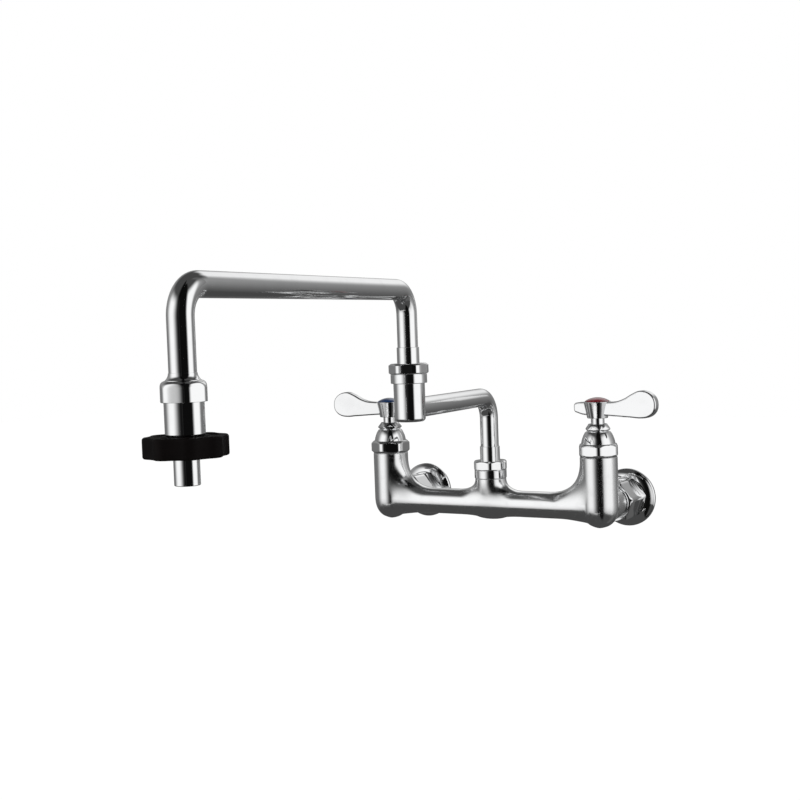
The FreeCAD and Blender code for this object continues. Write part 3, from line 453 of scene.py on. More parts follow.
# A finish per use: the casting is the waviest, turned pieces the crispest
FINISHES = {
    "cast_chrome": chrome("cast_chrome", turned=False, wave=17.0, wave_depth=0.03, marks=1.2,
                          mark_depth=0.0004, roughness=0.16),
    "turned_chrome": chrome("turned_chrome"),
    "nut_chrome": chrome("nut_chrome", wave=9.0, wave_depth=0.010, marks=1.4, mark_depth=0.0005,
                         roughness=0.05),
    "tube_chrome": chrome("tube_chrome", wave=26.0, marks=1.1, mark_depth=0.0005, roughness=0.05),
    "lever_chrome": chrome("lever_chrome", turned=False, wave=11.0, marks=0.8, mark_depth=0.0004,
                           roughness=0.05),
    "brass": turned_metal("turned_brass", (0.62, 0.43, 0.16), (0.42, 0.27, 0.09), 0.24),
    "steel": turned_metal("stainless_steel", (0.60, 0.60, 0.58), (0.44, 0.44, 0.43), 0.26),
    "wheel": moulded("wheel_plastic", (0.0030, 0.0022, 0.0022), (0.0060, 0.0044, 0.0042),
                     0.55, 0.02, 0.55, 0.05),
    "red": enamel("red_enamel", (0.09, 0.003, 0.008), (0.16, 0.006, 0.014)),
    "blue": enamel("blue_enamel", (0.004, 0.018, 0.060), (0.008, 0.034, 0.11)),
    "rubber": moulded("seal_rubber", (0.012, 0.012, 0.013), (0.022, 0.022, 0.023), 0.4, 0.02, 0.6, 0.4),
    "ceramic": moulded("valve_ceramic", (0.74, 0.72, 0.66), (0.80, 0.78, 0.73), 0.3, 0.003, 0.22, 0.5),
    "fibre": moulded("fibre_washer", (0.26, 0.06, 0.03), (0.38, 0.12, 0.06), 0.7, 0.05, 0.7, 0.4),
}
SLOT_FINISHES = {
    "polished_chrome": "lever_chrome", "turned_brass": "brass", "stainless_steel": "steel",
    "black_wheel": "wheel", "red_button": "red", "blue_button": "blue",
    "seal_rubber": "rubber", "valve_ceramic": "ceramic", "fibre_washer": "fibre",
}


def dress_nodes():
    """Gives every carried node the finish of its own slot."""
    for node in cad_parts.values():
        for slot in node.material_slots:
            kind = slot.material.name.split(".")[0]
            slot.material = FINISHES[SLOT_FINISHES[kind]]


# Meshes

def unit(vector):
    return vector / max(np.linalg.norm(vector), 1e-12)


def smooth(share):
    """Share from 0 to 1 that leaves and arrives level."""
    return share * share * (3 - 2 * share)


def new_object(name, data):
    made = bpy.data.objects.new(name, data)
    bpy.context.scene.collection.objects.link(made)
    return made


def new_mesh(name, vertices, faces, material):
    mesh = bpy.data.meshes.new(name)
    mesh.from_pydata(vertices, [], faces)
    mesh.materials.append(material)
    return mesh


def new_piece(name, mesh_parts, finish, body, nodes, turned=None):
    """Object from points in millimetres, faces and normals, riding on a body in place of nodes."""
    vertices, faces, normals = mesh_parts
    mesh = new_mesh(name, (vertices * MM).tolist(), faces, FINISHES[finish])
    mesh.polygons.foreach_set("use_smooth", [True] * len(mesh.polygons))
    if turned is not None:
        layer = mesh.attributes.new("turned", "FLOAT_VECTOR", "POINT")
        layer.data.foreach_set("vector", np.asarray(turned, dtype=np.float32).ravel())
    mesh.normals_split_custom_set_from_vertices(normals.tolist())
    piece = new_object(name, mesh)
    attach(piece, body)
    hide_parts(*nodes)


def outline_points(corners, closed=True):
    """Points and outward normals of an outline.

    A corner is (radius, height), or (radius, height, rounding) with 0.0 on a curve. The outline
    runs up the outside and down the inside, so its outward side is on the right.
    """
    places = [np.array(corner[:2], dtype=float) for corner in corners]
    points = []
    for index, here in enumerate(places):
        first, last = index == 0 and not closed, index == len(places) - 1 and not closed
        arriving, leaving = here - places[index - 1], places[(index + 1) % len(places)] - here
        if first:
            arriving = leaving
        if last:
            leaving = arriving
        d0, d1 = unit(arriving), unit(leaving)
        n0, n1 = np.array((d0[1], -d0[0])), np.array((d1[1], -d1[0]))
        turn = math.atan2(d0[0] * d1[1] - d0[1] * d1[0], float(d0 @ d1))
        rounding = 0.0 if first or last else (*corners[index], FINE_EDGE)[2]
        room = CORNER_ROOM * min(np.linalg.norm(arriving), np.linalg.norm(leaving))
        reach = min(rounding * math.tan(abs(turn) / 2), room)
        if reach < 1e-6:
            points.append((here, unit(n0 + n1)))
            continue
        radius = reach / math.tan(abs(turn) / 2)
        side = math.copysign(1.0, turn)
        centre = here - d0 * reach - side * n0 * radius
        steps = max(2, round(abs(math.degrees(turn)) / CORNER_STEP))
        for step in range(steps + 1):
            cosine, sine = math.cos(turn * step / steps), math.sin(turn * step / steps)
            normal = np.array((n0[0] * cosine - n0[1] * sine, n0[0] * sine + n0[1] * cosine))
            points.append((centre + side * normal * radius, normal))
    return points


def bow(start, end, bulge):
    """Points on an arc between two outline points, without its ends; it bulges to the right."""
    start, end = np.array(start, dtype=float), np.array(end, dtype=float)
    chord = end - start
    half = np.linalg.norm(chord) / 2
    radius = (half ** 2 + bulge ** 2) / (2 * abs(bulge))
    outward = np.array((chord[1], -chord[0])) / (2 * half) * math.copysign(1.0, bulge)
    centre = (start + end) / 2 + outward * (abs(bulge) - radius)
    half_angle = math.asin(min(1.0, half / radius))
    points = []
    for step in range(1, BOW_STEPS):
        angle = half_angle * (2 * step / BOW_STEPS - 1)
        place = centre + outward * radius * math.cos(angle) + unit(chord) * radius * math.sin(angle)
        points.append((place[0], place[1], 0.0))
    return points


def flat_distance(angle, flats, turn):
    """Distance of a hexagon's flats from its axis, over the angle."""
    sector = math.pi / 3
    offset = (angle - math.radians(turn)) % sector - sector / 2
    return flats / 2 / np.cos(offset)


def slope_over(angle, distance, *values):
    """Slope of a distance over the angle."""
    step = 1e-4
    return (distance(angle + step, *values) - distance(angle - step, *values)) / (2 * step)


def round_mesh(outline, closed=True, hexagon=None):
    """Mesh turned about +Z from an outline; a hexagon is (flats, turn, foot, top) of what it cuts."""
    places, sides = (np.array(part) for part in zip(*outline_points(outline, closed)))
    steps = HEXAGON_STEPS if hexagon else ROUND_STEPS
    angle = np.arange(steps) * 2 * math.pi / steps
    radius, height = np.repeat(places[:, :1], steps, axis=1), places[:, 1:]
    share, slope = np.ones_like(radius), np.zeros_like(radius)
    if hexagon:
        flats, turn, foot, top = hexagon
        inside = (height >= foot - 1e-6) & (height <= top + 1e-6)
        edge = flat_distance(angle, flats, turn)
        mix = np.clip(0.5 + 0.5 * (edge - radius) / CORNER_SOFTNESS, 0, 1)
        cut = edge * (1 - mix) + radius * mix - CORNER_SOFTNESS * mix * (1 - mix)
        radius = np.where(inside, cut, radius)
        share = np.where(inside, mix, 1.0)
        slope = np.where(inside, (1 - mix) * slope_over(angle, flat_distance, flats, turn), 0.0)
    return ringed_mesh(angle, radius, slope, height, sides[:, :1], share * sides[:, 1:], closed)


def ringed_mesh(angle, radius, slope, height, outward, upward, closed):
    """Mesh about +Z: each ring's radius over the angle, its slope, its height and its normal."""
    cosine, sine = np.cos(angle), np.sin(angle)
    around = -slope / np.maximum(radius, 1e-6) * outward
    height, upward = np.broadcast_to(height, radius.shape), np.broadcast_to(upward, radius.shape)
    vertices = np.stack([radius * cosine, radius * sine, height], axis=-1)
    normals = [outward * cosine - around * sine, outward * sine + around * cosine, upward]
    normals = np.stack(normals, axis=-1)
    return close_mesh(vertices, normals, closed)


def close_mesh(vertices, normals, closed):
    """Quads between rings; an open outline starts and ends on the axis, in one point each."""
    rings, steps = vertices.shape[:2]
    following = [(column + 1) % steps for column in range(steps)]
    if closed:
        vertices, normals = vertices.reshape(-1, 3), normals.reshape(-1, 3)
        base, pairs = 0, [(ring, (ring + 1) % rings) for ring in range(rings)]
    else:
        vertices, normals = (np.concatenate([part[[0, -1], 0], part[1:-1].reshape(-1, 3)])
                             for part in (vertices, normals))
        base, pairs = 2, [(ring, ring + 1) for ring in range(rings - 3)]
    faces = []
    for low, high in pairs:
        start, end = base + low * steps, base + high * steps
        for column, after in enumerate(following):
            faces.append((start + column, start + after, end + after, end + column))
    if not closed:
        top = base + (rings - 3) * steps
        for column, after in enumerate(following):
            faces.append((0, base + after, base + column))
            faces.append((1, top + column, top + after))
    lengths = np.linalg.norm(normals, axis=1, keepdims=True)
    return vertices, faces, normals / np.maximum(lengths, 1e-9)


def join_meshes(meshes):
    vertices, faces, normals = [], [], []
    for some_vertices, some_faces, some_normals in meshes:
        start = sum(len(part) for part in vertices)
        vertices.append(some_vertices)
        normals.append(some_normals)
        faces += [tuple(start + corner for corner in face) for face in some_faces]
    return np.concatenate(vertices), faces, np.concatenate(normals)


def turned_piece(name, meshes, axis, finish, body, nodes, outwards=False):
    """Piece of meshes turned about +Z, on an upright axis or on one that points out of the wall."""
    turned, faces, normals = join_meshes(meshes)
    vertices = turned + np.array((axis[0], axis[1], 0.0))
    if outwards:
        vertices, normals = (part[:, [0, 2, 1]] * np.array((1, -1, 1)) for part in (turned, normals))
        vertices = vertices + np.array((axis[0], 0.0, axis[1]))
    new_piece(name, (vertices, faces, normals), finish, body, nodes, turned)


def nut_side(flats, corners, foot, top, chamfer=NUT_CHAMFER, foot_edge=EDGE):
    """Outline up the outside of a nut whose corners are turned down at both ends."""
    flat, corner = flats / 2 - NUT_CHAMFER / 2, corners / 2
    return [(flat, foot, foot_edge), (corner, foot + chamfer, EDGE), (corner, top - chamfer, EDGE),
            (flat, top, EDGE)]


# Casting of the mixer body: rods, barrels and necks run together, worked out as one skin

def soft_least(first, second, reach):
    """Lesser of two distances, run together with a fillet that starts reach away from each."""
    near = np.maximum(reach - np.abs(first - second), 0) / reach
    return np.minimum(first, second) - near * near * reach / 4


def cut_off(shape, over):
    """Shape without what lies over a plane, its edge softened."""
    return -soft_least(-shape, -over, TOP_EDGE)


def run_together(first, second, between, radius):
    """Union of two distances with a rolled fillet; between is the cosine of their slopes' angle.

    Where both skins face the same way the fillet dies out, so that neither swells.
    """
    reach = np.maximum(FILLET_SHARE * radius * (1 - between), LEAST_BLEND)
    return soft_least(first, second, reach)


def casting_distance(x, y, z, sizes):
    """Signed distance in mm from the skin of the casting, roughly true near it."""
    out = np.abs(x) - sizes["wing"]
    back = y - sizes["reach"]
    from_bar = np.maximum(np.sqrt(np.maximum(out, 0.0) ** 2 + back ** 2 + z ** 2), 0.1)
    shape = from_bar - CROSSBAR_RADIUS
    low = np.minimum(z - FOOT_START, 0.0) * FOOT_SHARE
    sunk = smooth(np.clip((BOSS_FOOT_START - z) / BOSS_FOOT_DEPTH, 0.0, 1.0))
    barrel = (out, np.maximum(out, 0.0), BARREL_RADIUS, sizes["barrel_top"], BARREL_FILLET, 1.0, 1.0)
    boss = (x, 0.0, BOSS_RADIUS, sizes["boss_top"], BOSS_FILLET,
            1 - BOSS_SPREAD * sunk, 1 + BOSS_NARROWING * sunk)
    for along, inner, radius, top, fillet, spread, narrowing in (barrel, boss):
        from_axis = np.hypot(along * spread, back * narrowing) ** FOOT_FULLNESS
        from_axis = np.maximum(from_axis + np.abs(low) ** FOOT_FULLNESS, 1e-3) ** (1 / FOOT_FULLNESS)
        between = (inner * along + back ** 2 + z * low) / (from_axis * from_bar)
        shape = run_together(shape, from_axis - radius, np.minimum(between, 1.0), fillet)
        shape = np.where(np.abs(along) < TOP_REACH, cut_off(shape, z - top), shape)
    from_neck = np.maximum(np.hypot(out, z), 0.1)
    from_barrel = np.maximum(np.hypot(out, back), 0.1)
    neck = cut_off(cut_off(from_neck - NECK_RADIUS, y + NECK_STEP), -back)
    shape = run_together(shape, neck, out ** 2 / (from_neck * from_barrel), NECK_FILLET)
    thread = cut_off(cut_off(from_neck - NECK_THREAD_RADIUS, y - sizes["neck_end"]), -back)
    socket = cut_off(np.hypot(x, back) - SWIVEL_THREAD_RADIUS, z - sizes["socket_top"])
    socket = cut_off(socket, sizes["boss_top"] - SOCKET_ROOT - z)
    return np.minimum(np.minimum(shape, thread), socket)


def slope_of(distance, points):
    step = 0.02
    slopes = []
    for shift in np.eye(3) * step:
        slopes.append((distance(*(points + shift).T) - distance(*(points - shift).T)) / (2 * step))
    return np.stack(slopes, axis=1)


def crossed_cells(inside):
    """Grid cells that the skin crosses, and an array of their numbers, -1 in every other cell."""
    size = [count - 1 for count in inside.shape]
    filled = sum(inside[i:i + size[0], j:j + size[1], k:k + size[2]].astype(np.int8)
                 for i, j, k in np.ndindex(2, 2, 2))
    crossed = (filled > 0) & (filled < 8)
    cells = np.argwhere(crossed)
    number = np.full(size, -1, dtype=np.int64)
    number[crossed] = np.arange(len(cells))
    return cells, number


def middles(values, cells):
    """Middle of the places where the skin crosses the edges of each cell."""
    total, hits = np.zeros((len(cells), 3)), np.zeros(len(cells))
    for axis in range(3):
        for corner in np.ndindex(2, 2, 2):
            if corner[axis]:
                continue
            here = cells + corner
            other = here + np.eye(3, dtype=int)[axis]
            first, second = values[tuple(here.T)], values[tuple(other.T)]
            cross = (first < 0) != (second < 0)
            place = np.tile(np.array(corner, dtype=float), (len(cells), 1))
            place[:, axis] += np.where(cross, first / np.where(cross, first - second, 1.0), 0.0)
            total += place * cross[:, None]
            hits += cross
    return cells + total / hits[:, None]


def skin_faces(inside, number):
    """Quad round each grid edge that the skin crosses, facing outwards."""
    faces = []
    for axis in range(3):
        across = [(axis + 1) % 3, (axis + 2) % 3]
        edges = np.argwhere(np.diff(inside, axis=axis))
        room = np.array(inside.shape)[across] - 1
        edges = edges[((edges[:, across] > 0) & (edges[:, across] < room)).all(axis=1)]
        ring = []
        for step in ((-1, -1), (0, -1), (0, 0), (-1, 0)):
            cell = edges.copy()
            cell[:, across] += step
            ring.append(number[tuple(cell.T)])
        quads = np.stack(ring, axis=1)
        inward = ~inside[tuple(edges.T)]
        quads[inward] = quads[inward][:, ::-1]
        faces += quads.tolist()
    return faces


def skin_of(distance, low, high):
    """Skin of a signed distance: one point in each cell it crosses, moved onto it, quads between."""
    counts = [int(math.ceil((high[axis] - low[axis]) / CASTING_GRID)) + 1 for axis in range(3)]
    lines = [low[axis] + CASTING_GRID * np.arange(counts[axis]) for axis in range(3)]
    values = distance(*np.meshgrid(*lines, indexing="ij"))
    cells, number = crossed_cells(values < 0)
    points = low + CASTING_GRID * middles(values, cells)
    for sweep in range(SKIN_SWEEPS):
        slope = slope_of(distance, points)
        steepness = np.maximum((slope ** 2).sum(axis=1), LEAST_STEEPNESS)
        points -= slope * (distance(*points.T) / steepness)[:, None]
    normals = slope_of(distance, points)
    normals /= np.linalg.norm(normals, axis=1, keepdims=True)
    return points, skin_faces(values < 0, number), normals


def make_casting():
    low, high = box_of("mixer_body")
    nut_foot, nut_top = heights_of("base_swivel_nut")
    sizes = {"wing": axis_of("packing_nut_right")[0], "reach": axis_of("base_spigot")[1],
             "barrel_top": high[2], "boss_top": nut_foot, "socket_top": nut_top - SWIVEL_THREAD_DROP,
             "neck_end": high[1]}

    def distance(x, y, z):
        return casting_distance(x, y, z, sizes)

    skin = skin_of(distance, low - CASTING_MARGIN, high + CASTING_MARGIN)
    new_piece("mixer_casting", skin, "cast_chrome", "body", ["mixer_body"])


# Wall connections, valves and levers

def make_wall_connection(side):
    """Flange with its rolled rim and hexagon, and the union nut in front of it."""
    axis = (axis_of("wall_flange_" + side)[0], 0.0)
    rim, face = FLANGE_RIM, FLANGE_FACE_HEIGHT
    disc = [(INLET_BORE, 0.0), (FLANGE_RADIUS, 0.0), (FLANGE_RADIUS, rim - 0.8, 0.7),
            (FLANGE_RADIUS - 0.6, rim, 0.5)]
    disc += bow((FLANGE_RADIUS - 0.9, rim + 0.1), (FLANGE_FACE_RADIUS + 0.3, face - 0.5), FLANGE_BOW)
    disc += [(FLANGE_FACE_RADIUS, face, 0.3), (INLET_BORE, face)]
    foot, top = WALL_HEXAGON_SPAN
    tail = [(INLET_BORE, foot), (WALL_CORNERS / 2, foot)]
    tail += nut_side(WALL_FLATS, WALL_CORNERS, foot, top)[2:]
    tail += [(TAIL_RADIUS, top), (TAIL_RADIUS, TAIL_END), (INLET_BORE, TAIL_END)]
    meshes = [round_mesh(disc), round_mesh(tail, hexagon=(WALL_FLATS, WALL_TURN, foot, top))]
    turned_piece("wall_connection_" + side, meshes, axis, "nut_chrome", "body", ["wall_flange_" + side],
                 outwards=True)
    foot, top = UNION_NUT_SPAN
    lip = foot + UNION_NUT_LIP
    small, large = TAIL_RADIUS + CLEARANCE, NECK_THREAD_RADIUS + CLEARANCE
    nut = [(small, foot)] + nut_side(WALL_FLATS, WALL_CORNERS, foot, top)
    nut += [(large, top), (large, lip), (small, lip)]
    mesh = round_mesh(nut, hexagon=(WALL_FLATS, WALL_TURN, foot, top))
    turned_piece("union_nut_" + side, [mesh], axis, "nut_chrome", "body", ["coupling_nut_" + side],
                 outwards=True)


def make_bonnet(side):
    """Hexagon screwed onto a barrel, with the dome that holds the packing nut."""
    dome_top = heights_of("packing_nut_" + side)[0]
    top = dome_top - DOME_HEIGHT
    foot = top - BONNET_HEXAGON_HEIGHT
    roof = dome_top - BONNET_ROOF
    bonnet = [(BONNET_CAVITY, foot)]
    bonnet += nut_side(BONNET_FLATS, BONNET_CORNERS, foot, top, BONNET_CHAMFER)
    bonnet += [(DOME_FOOT_RADIUS + 0.05, top, 0.25)]
    bonnet += bow((DOME_FOOT_RADIUS, top + 0.3), (DOME_TOP_RADIUS, dome_top - 0.1), DOME_BOW)
    bonnet += [(DOME_TOP_RADIUS - 0.2, dome_top, 0.5), (STEM_HOLE, dome_top), (STEM_HOLE, roof),
               (BONNET_CAVITY, roof)]
    mesh = round_mesh(bonnet, hexagon=(BONNET_FLATS, BONNET_TURNS[side], foot, top))
    turned_piece("bonnet_dome_" + side, [mesh], axis_of("packing_nut_" + side), "nut_chrome", "body",
                 ["bonnet_" + side])


def make_gland_nut(side):
    foot, top = heights_of("packing_nut_" + side)
    brow = PACKING_CORNERS / 2
    nut = [(STEM_HOLE, foot), (PACKING_FOOT_RADIUS, foot), (brow, foot + PACKING_BROW_FOOT, EDGE),
           (brow, foot + PACKING_BROW_TOP, 0.4), (PACKING_TOP_RADIUS, top - 0.2, 0.4),
           (PACKING_TOP_RADIUS - 0.2, top, 0.2), (STEM_HOLE, top, 0.25)]
    mesh = round_mesh(nut, hexagon=(PACKING_FLATS, PACKING_TURNS[side], foot, top))
    turned_piece("gland_nut_" + side, [mesh], axis_of("packing_nut_" + side), "nut_chrome", "body",
                 ["packing_nut_" + side])


def make_button(side):
    """Coloured button in the top of a lever: a plug below, and a shallow ball above."""
    low, high = box_of("index_button_" + side)
    radius = (high[0] - low[0]) / 2
    foot, top = low[2], high[2]
    seat = foot + BUTTON_PLUG_LENGTH
    cap = [(0.0, foot), (BUTTON_PLUG_RADIUS, foot), (BUTTON_PLUG_RADIUS, seat), (radius, seat),
           (radius, seat + BUTTON_SIDE, EDGE)]
    rise = top - seat - BUTTON_SIDE
    ball = (radius ** 2 + rise ** 2) / (2 * rise)
    for step in range(1, BUTTON_STEPS):
        angle = math.asin(radius / ball) * (1 - step / BUTTON_STEPS)
        cap.append((ball * math.sin(angle), top - ball * (1 - math.cos(angle)), 0.0))
    cap.append((0.0, top))
    colour = {"left": "blue", "right": "red"}[side]
    turned_piece("index_cap_" + side, [round_mesh(cap, closed=False)], axis_of("index_button_" + side),
                 colour, side + "_lever", ["index_button_" + side])


def through(rows):
    """Rows of values on a smooth curve through the given rows."""
    rows = np.array(rows)
    knots = np.concatenate([[0.0], np.cumsum(np.linalg.norm(np.diff(rows, axis=0), axis=1))])
    slopes = np.gradient(rows, knots, axis=0)
    curve = []
    for index in range(len(rows) - 1):
        span = knots[index + 1] - knots[index]
        for share in np.arange(BLADE_STEPS) / BLADE_STEPS:
            rest = 1 - share
            curve.append(rows[index] * smooth(rest) + rows[index + 1] * smooth(share)
                         + span * share * rest * (slopes[index] * rest - slopes[index + 1] * share))
    return np.array(curve + [rows[-1]])


def blade_faces(rows, count):
    """Quads round the edge of a blade, from row to row, and across both its flat sides."""
    faces = []
    for start in range(0, (rows - 1) * count, count):
        for column in range(count):
            following = (column + 1) % count
            faces.append((start + column, start + count + column, start + count + following,
                          start + following))
    last = (rows - 1) * count
    for column in range(count // 2 - 1):
        opposite = count - 1 - column
        faces.append((column, column + 1, opposite - 1, opposite))
        faces.append((last + column, last + opposite, last + opposite - 1, last + column + 1))
    return faces


def blade_mesh(sections, foot, turn):
    """Flat blade with rounded edges that reaches out from the stem, turned by degrees from +X."""
    reach, low, high, half = through(sections).T
    line = np.concatenate([np.stack([reach, low], axis=1), np.stack([reach, high], axis=1)[::-1]])
    half = np.concatenate([half, half[::-1]])
    way = np.gradient(line, axis=0)
    way /= np.linalg.norm(way, axis=1, keepdims=True)
    outward = np.stack([way[:, 1], -way[:, 0]], axis=1)
    angles = [math.radians(angle) for angle in BLADE_EDGE_ANGLES]
    profile = [(angle, -1.0) for angle in angles] + [(-angle, 1.0) for angle in reversed(angles)]
    vertices, normals = [], []
    for angle, side in profile:
        cosine, sine = math.cos(angle), math.sin(angle)
        place = line - outward * BLADE_EDGE * (1 - cosine)
        across = side * (half - BLADE_EDGE) + BLADE_EDGE * sine
        vertices.append(np.stack([place[:, 0], across, place[:, 1] + foot], axis=1))
        normals.append(np.stack([outward[:, 0] * cosine, np.full(len(line), sine),
                                 outward[:, 1] * cosine], axis=1))
    cosine, sine = math.cos(math.radians(turn)), math.sin(math.radians(turn))
    spin = np.array(((cosine, sine, 0), (-sine, cosine, 0), (0, 0, 1)))
    faces = blade_faces(len(profile), len(line))
    return np.concatenate(vertices) @ spin, faces, np.concatenate(normals) @ spin


def make_lever(side):
    """Lever in one piece: the cone round the stem, the blade, and the short stub behind it."""
    foot = heights_of("lever_handle_" + side)[0]
    stem_end = heights_of("valve_stem_" + side)[1] + SEAT_GAP
    button_foot = heights_of("index_button_" + side)[0]
    top, seat = button_foot + BUTTON_PLUG_LENGTH, button_foot - SEAT_GAP
    head = button_foot - SCREW_HEAD_DROP
    cone = [(LEVER_STEM_HOLE, foot), (CONE_FOOT_RADIUS, foot, EDGE), (CONE_TOP_RADIUS, top, EDGE),
            (PLUG_HOLE, top), (PLUG_HOLE, seat), (SCREW_HEAD_HOLE, seat), (SCREW_HEAD_HOLE, head),
            (SCREW_HOLE, head), (SCREW_HOLE, stem_end), (LEVER_STEM_HOLE, stem_end)]
    turn = LEVER_TURNS[side]
    meshes = [round_mesh(cone), blade_mesh(BLADE_SECTIONS, foot, turn),
              blade_mesh(STUB_SECTIONS, foot, turn + 180)]
    turned_piece("lever_" + side, meshes, axis_of("valve_stem_" + side), "lever_chrome",
                 side + "_lever", ["lever_handle_" + side])


# Swivels and arms

def make_swivel(name, nut_body, spigot_body):
    """Swivel nut with its round skirt, and the spigot that turns inside it."""
    axis = axis_of(name + "_spigot")
    foot, top = heights_of(name + "_swivel_nut")
    skirt_top = top - SWIVEL_HEXAGON_HEIGHT
    nut = [(SWIVEL_BORE, foot), (SKIRT_RADIUS, foot, EDGE), (SKIRT_RADIUS, skirt_top - 0.1, 0.2)]
    nut += nut_side(SWIVEL_FLATS, SWIVEL_CORNERS, skirt_top, top, foot_edge=0.2)
    nut += [(SWIVEL_BORE, top, 0.3)]
    mesh = round_mesh(nut, hexagon=(SWIVEL_FLATS, SWIVEL_TURNS[name], skirt_top, top))
    turned_piece(name + "_nut", [mesh], axis, "nut_chrome", nut_body, [name + "_swivel_nut"])
    foot, top = heights_of(name + "_spigot")
    seat, hole = top - TUBE_SEAT, TUBE_RADIUS + CLEARANCE
    sleeve = [(SPIGOT_BORE, foot), (SPIGOT_RADIUS, foot, EDGE), (SPIGOT_RADIUS, top, 0.6), (hole, top),
              (hole, seat), (SPIGOT_BORE, seat)]
    turned_piece(name + "_sleeve", [round_mesh(sleeve)], axis, "turned_chrome", spigot_body,
                 [name + "_spigot"])


def make_elbow_cup():
    foot, top = heights_of("elbow_cup")[0], heights_of("elbow_swivel_nut")[0]
    cup = [(0.0, foot), (CUP_RADIUS, foot, CUP_EDGE), (CUP_RADIUS, top, EDGE), (SWIVEL_BORE, top),
           (SWIVEL_BORE, top - CUP_DEPTH), (0.0, top - CUP_DEPTH)]
    turned_piece("elbow_socket", [round_mesh(cup, closed=False)], axis_of("elbow_spigot"),
                 "turned_chrome", "lower_arm", ["elbow_cup"])


def tube_path(places, runs):
    """Distance from the tube's start, middle and direction along straight runs and their bends."""
    stations, centres, tangents = [0.0], [places[0]], [runs[0]]
    for before, after, corner in zip(runs, runs[1:], places[1:]):
        start = corner - before * BEND_RADIUS
        hub = start + after * BEND_RADIUS
        travel = stations[-1] + np.linalg.norm(start - centres[-1])
        for step in range(BEND_STEPS + 1):
            angle = math.pi / 2 * step / BEND_STEPS
            ahead, aside = before * math.sin(angle), after * math.cos(angle)
            stations.append(travel + BEND_RADIUS * angle)
            centres.append(hub - aside * BEND_RADIUS + ahead * BEND_RADIUS)
            tangents.append(before * math.cos(angle) + after * math.sin(angle))
    stations.append(stations[-1] + np.linalg.norm(places[-1] - centres[-1]))
    return stations, np.array(centres + [places[-1]]), np.array(tangents + [runs[-1]])


def make_tube(name, places, body, node):
    """Bent tube: straight runs with a bend at each square corner, all in one upright plane."""
    places = [np.array(place, dtype=float) for place in places]
    runs = [unit(after - before) for before, after in zip(places, places[1:])]
    side = unit(np.cross(runs[0], runs[1]))
    stations, centres, tangents = tube_path(places, runs)
    length = stations[-1]
    outline = [(TUBE_BORE, 0.0), (TUBE_RADIUS, 0.0)]
    outline += [(TUBE_RADIUS, station, 0.0) for station in stations[1:-1]]
    outline += [(TUBE_RADIUS, length), (TUBE_BORE, length)]
    outline += [(TUBE_BORE, station, 0.0) for station in reversed(stations[1:-1])]
    turned, faces, normals = round_mesh(outline)
    centre, tangent = (np.stack([np.interp(turned[:, 2], stations, column) for column in part.T], axis=1)
                       for part in (centres, tangents))
    tangent /= np.linalg.norm(tangent, axis=1, keepdims=True)
    other = np.cross(side, tangent)
    vertices = centre + turned[:, :1] * other + turned[:, 1:2] * side
    normals = normals[:, :1] * other + normals[:, 1:2] * side + normals[:, 2:] * tangent
    new_piece(name, (vertices, faces, normals), "tube_chrome", body, [node], turned)


def make_arms():
    base, elbow, outlet = axis_of("base_spigot"), axis_of("elbow_spigot"), axis_of("throttle_body")
    lower_foot, lower_top = heights_of("lower_arm_tube")
    upper_foot, upper_top = heights_of("upper_arm_tube")
    lower, upper = lower_top - TUBE_RADIUS, upper_top - TUBE_RADIUS
    elbow_foot = heights_of("elbow_spigot")[1] - TUBE_SEAT
    entry = np.array(elbow) - unit(np.array(elbow) - np.array(base)) * CUP_TUBE_ENTRY
    places = [(*base, lower_foot), (*base, lower), (*entry, lower)]
    make_tube("lower_tube", places, "lower_arm", "lower_arm_tube")
    places = [(*elbow, elbow_foot), (*elbow, upper), (*outlet, upper), (*outlet, upper_foot)]
    make_tube("upper_tube", places, "upper_arm", "upper_arm_tube")


# Outlet

def make_outlet_nut(axis):
    """Coupling nut of the outlet, and the flared collar of the tube above it."""
    foot, top = heights_of("outlet_coupling_nut")
    flare_top = heights_of("outlet_collar")[1]
    collar = [(TUBE_RADIUS + CLEARANCE, top - 1.0), (COLLAR_RADIUS, top - 1.0),
              (COLLAR_RADIUS, top + 0.2, 0.5)]
    collar += bow((COLLAR_RADIUS - 0.2, top + 0.5), (COLLAR_TOP_RADIUS + 0.1, flare_top), COLLAR_BOW)
    collar += [(COLLAR_TOP_RADIUS, flare_top + 0.1, 0.1), (TUBE_RADIUS + 0.02, flare_top + 0.1, 0.05)]
    turned_piece("outlet_flare", [round_mesh(collar)], axis, "turned_chrome", "upper_arm",
                 ["outlet_collar"])
    corner, shoulder = OUTLET_CORNERS / 2, top - OUTLET_NUT_SHOULDER
    nut = [(OUTLET_NUT_BORE, foot), (corner, foot, 0.4), (corner, shoulder, 0.6)]
    nut += bow((corner - 0.05, shoulder + 0.2), (OUTLET_NUT_TOP_RADIUS + 0.2, top - 0.05), OUTLET_NUT_BOW)
    nut += [(OUTLET_NUT_TOP_RADIUS, top, 0.4), (OUTLET_NUT_BORE, top)]
    mesh = round_mesh(nut, hexagon=(OUTLET_FLATS, OUTLET_TURN, foot, top))
    turned_piece("outlet_nut", [mesh], axis, "nut_chrome", "upper_arm", ["outlet_coupling_nut"])


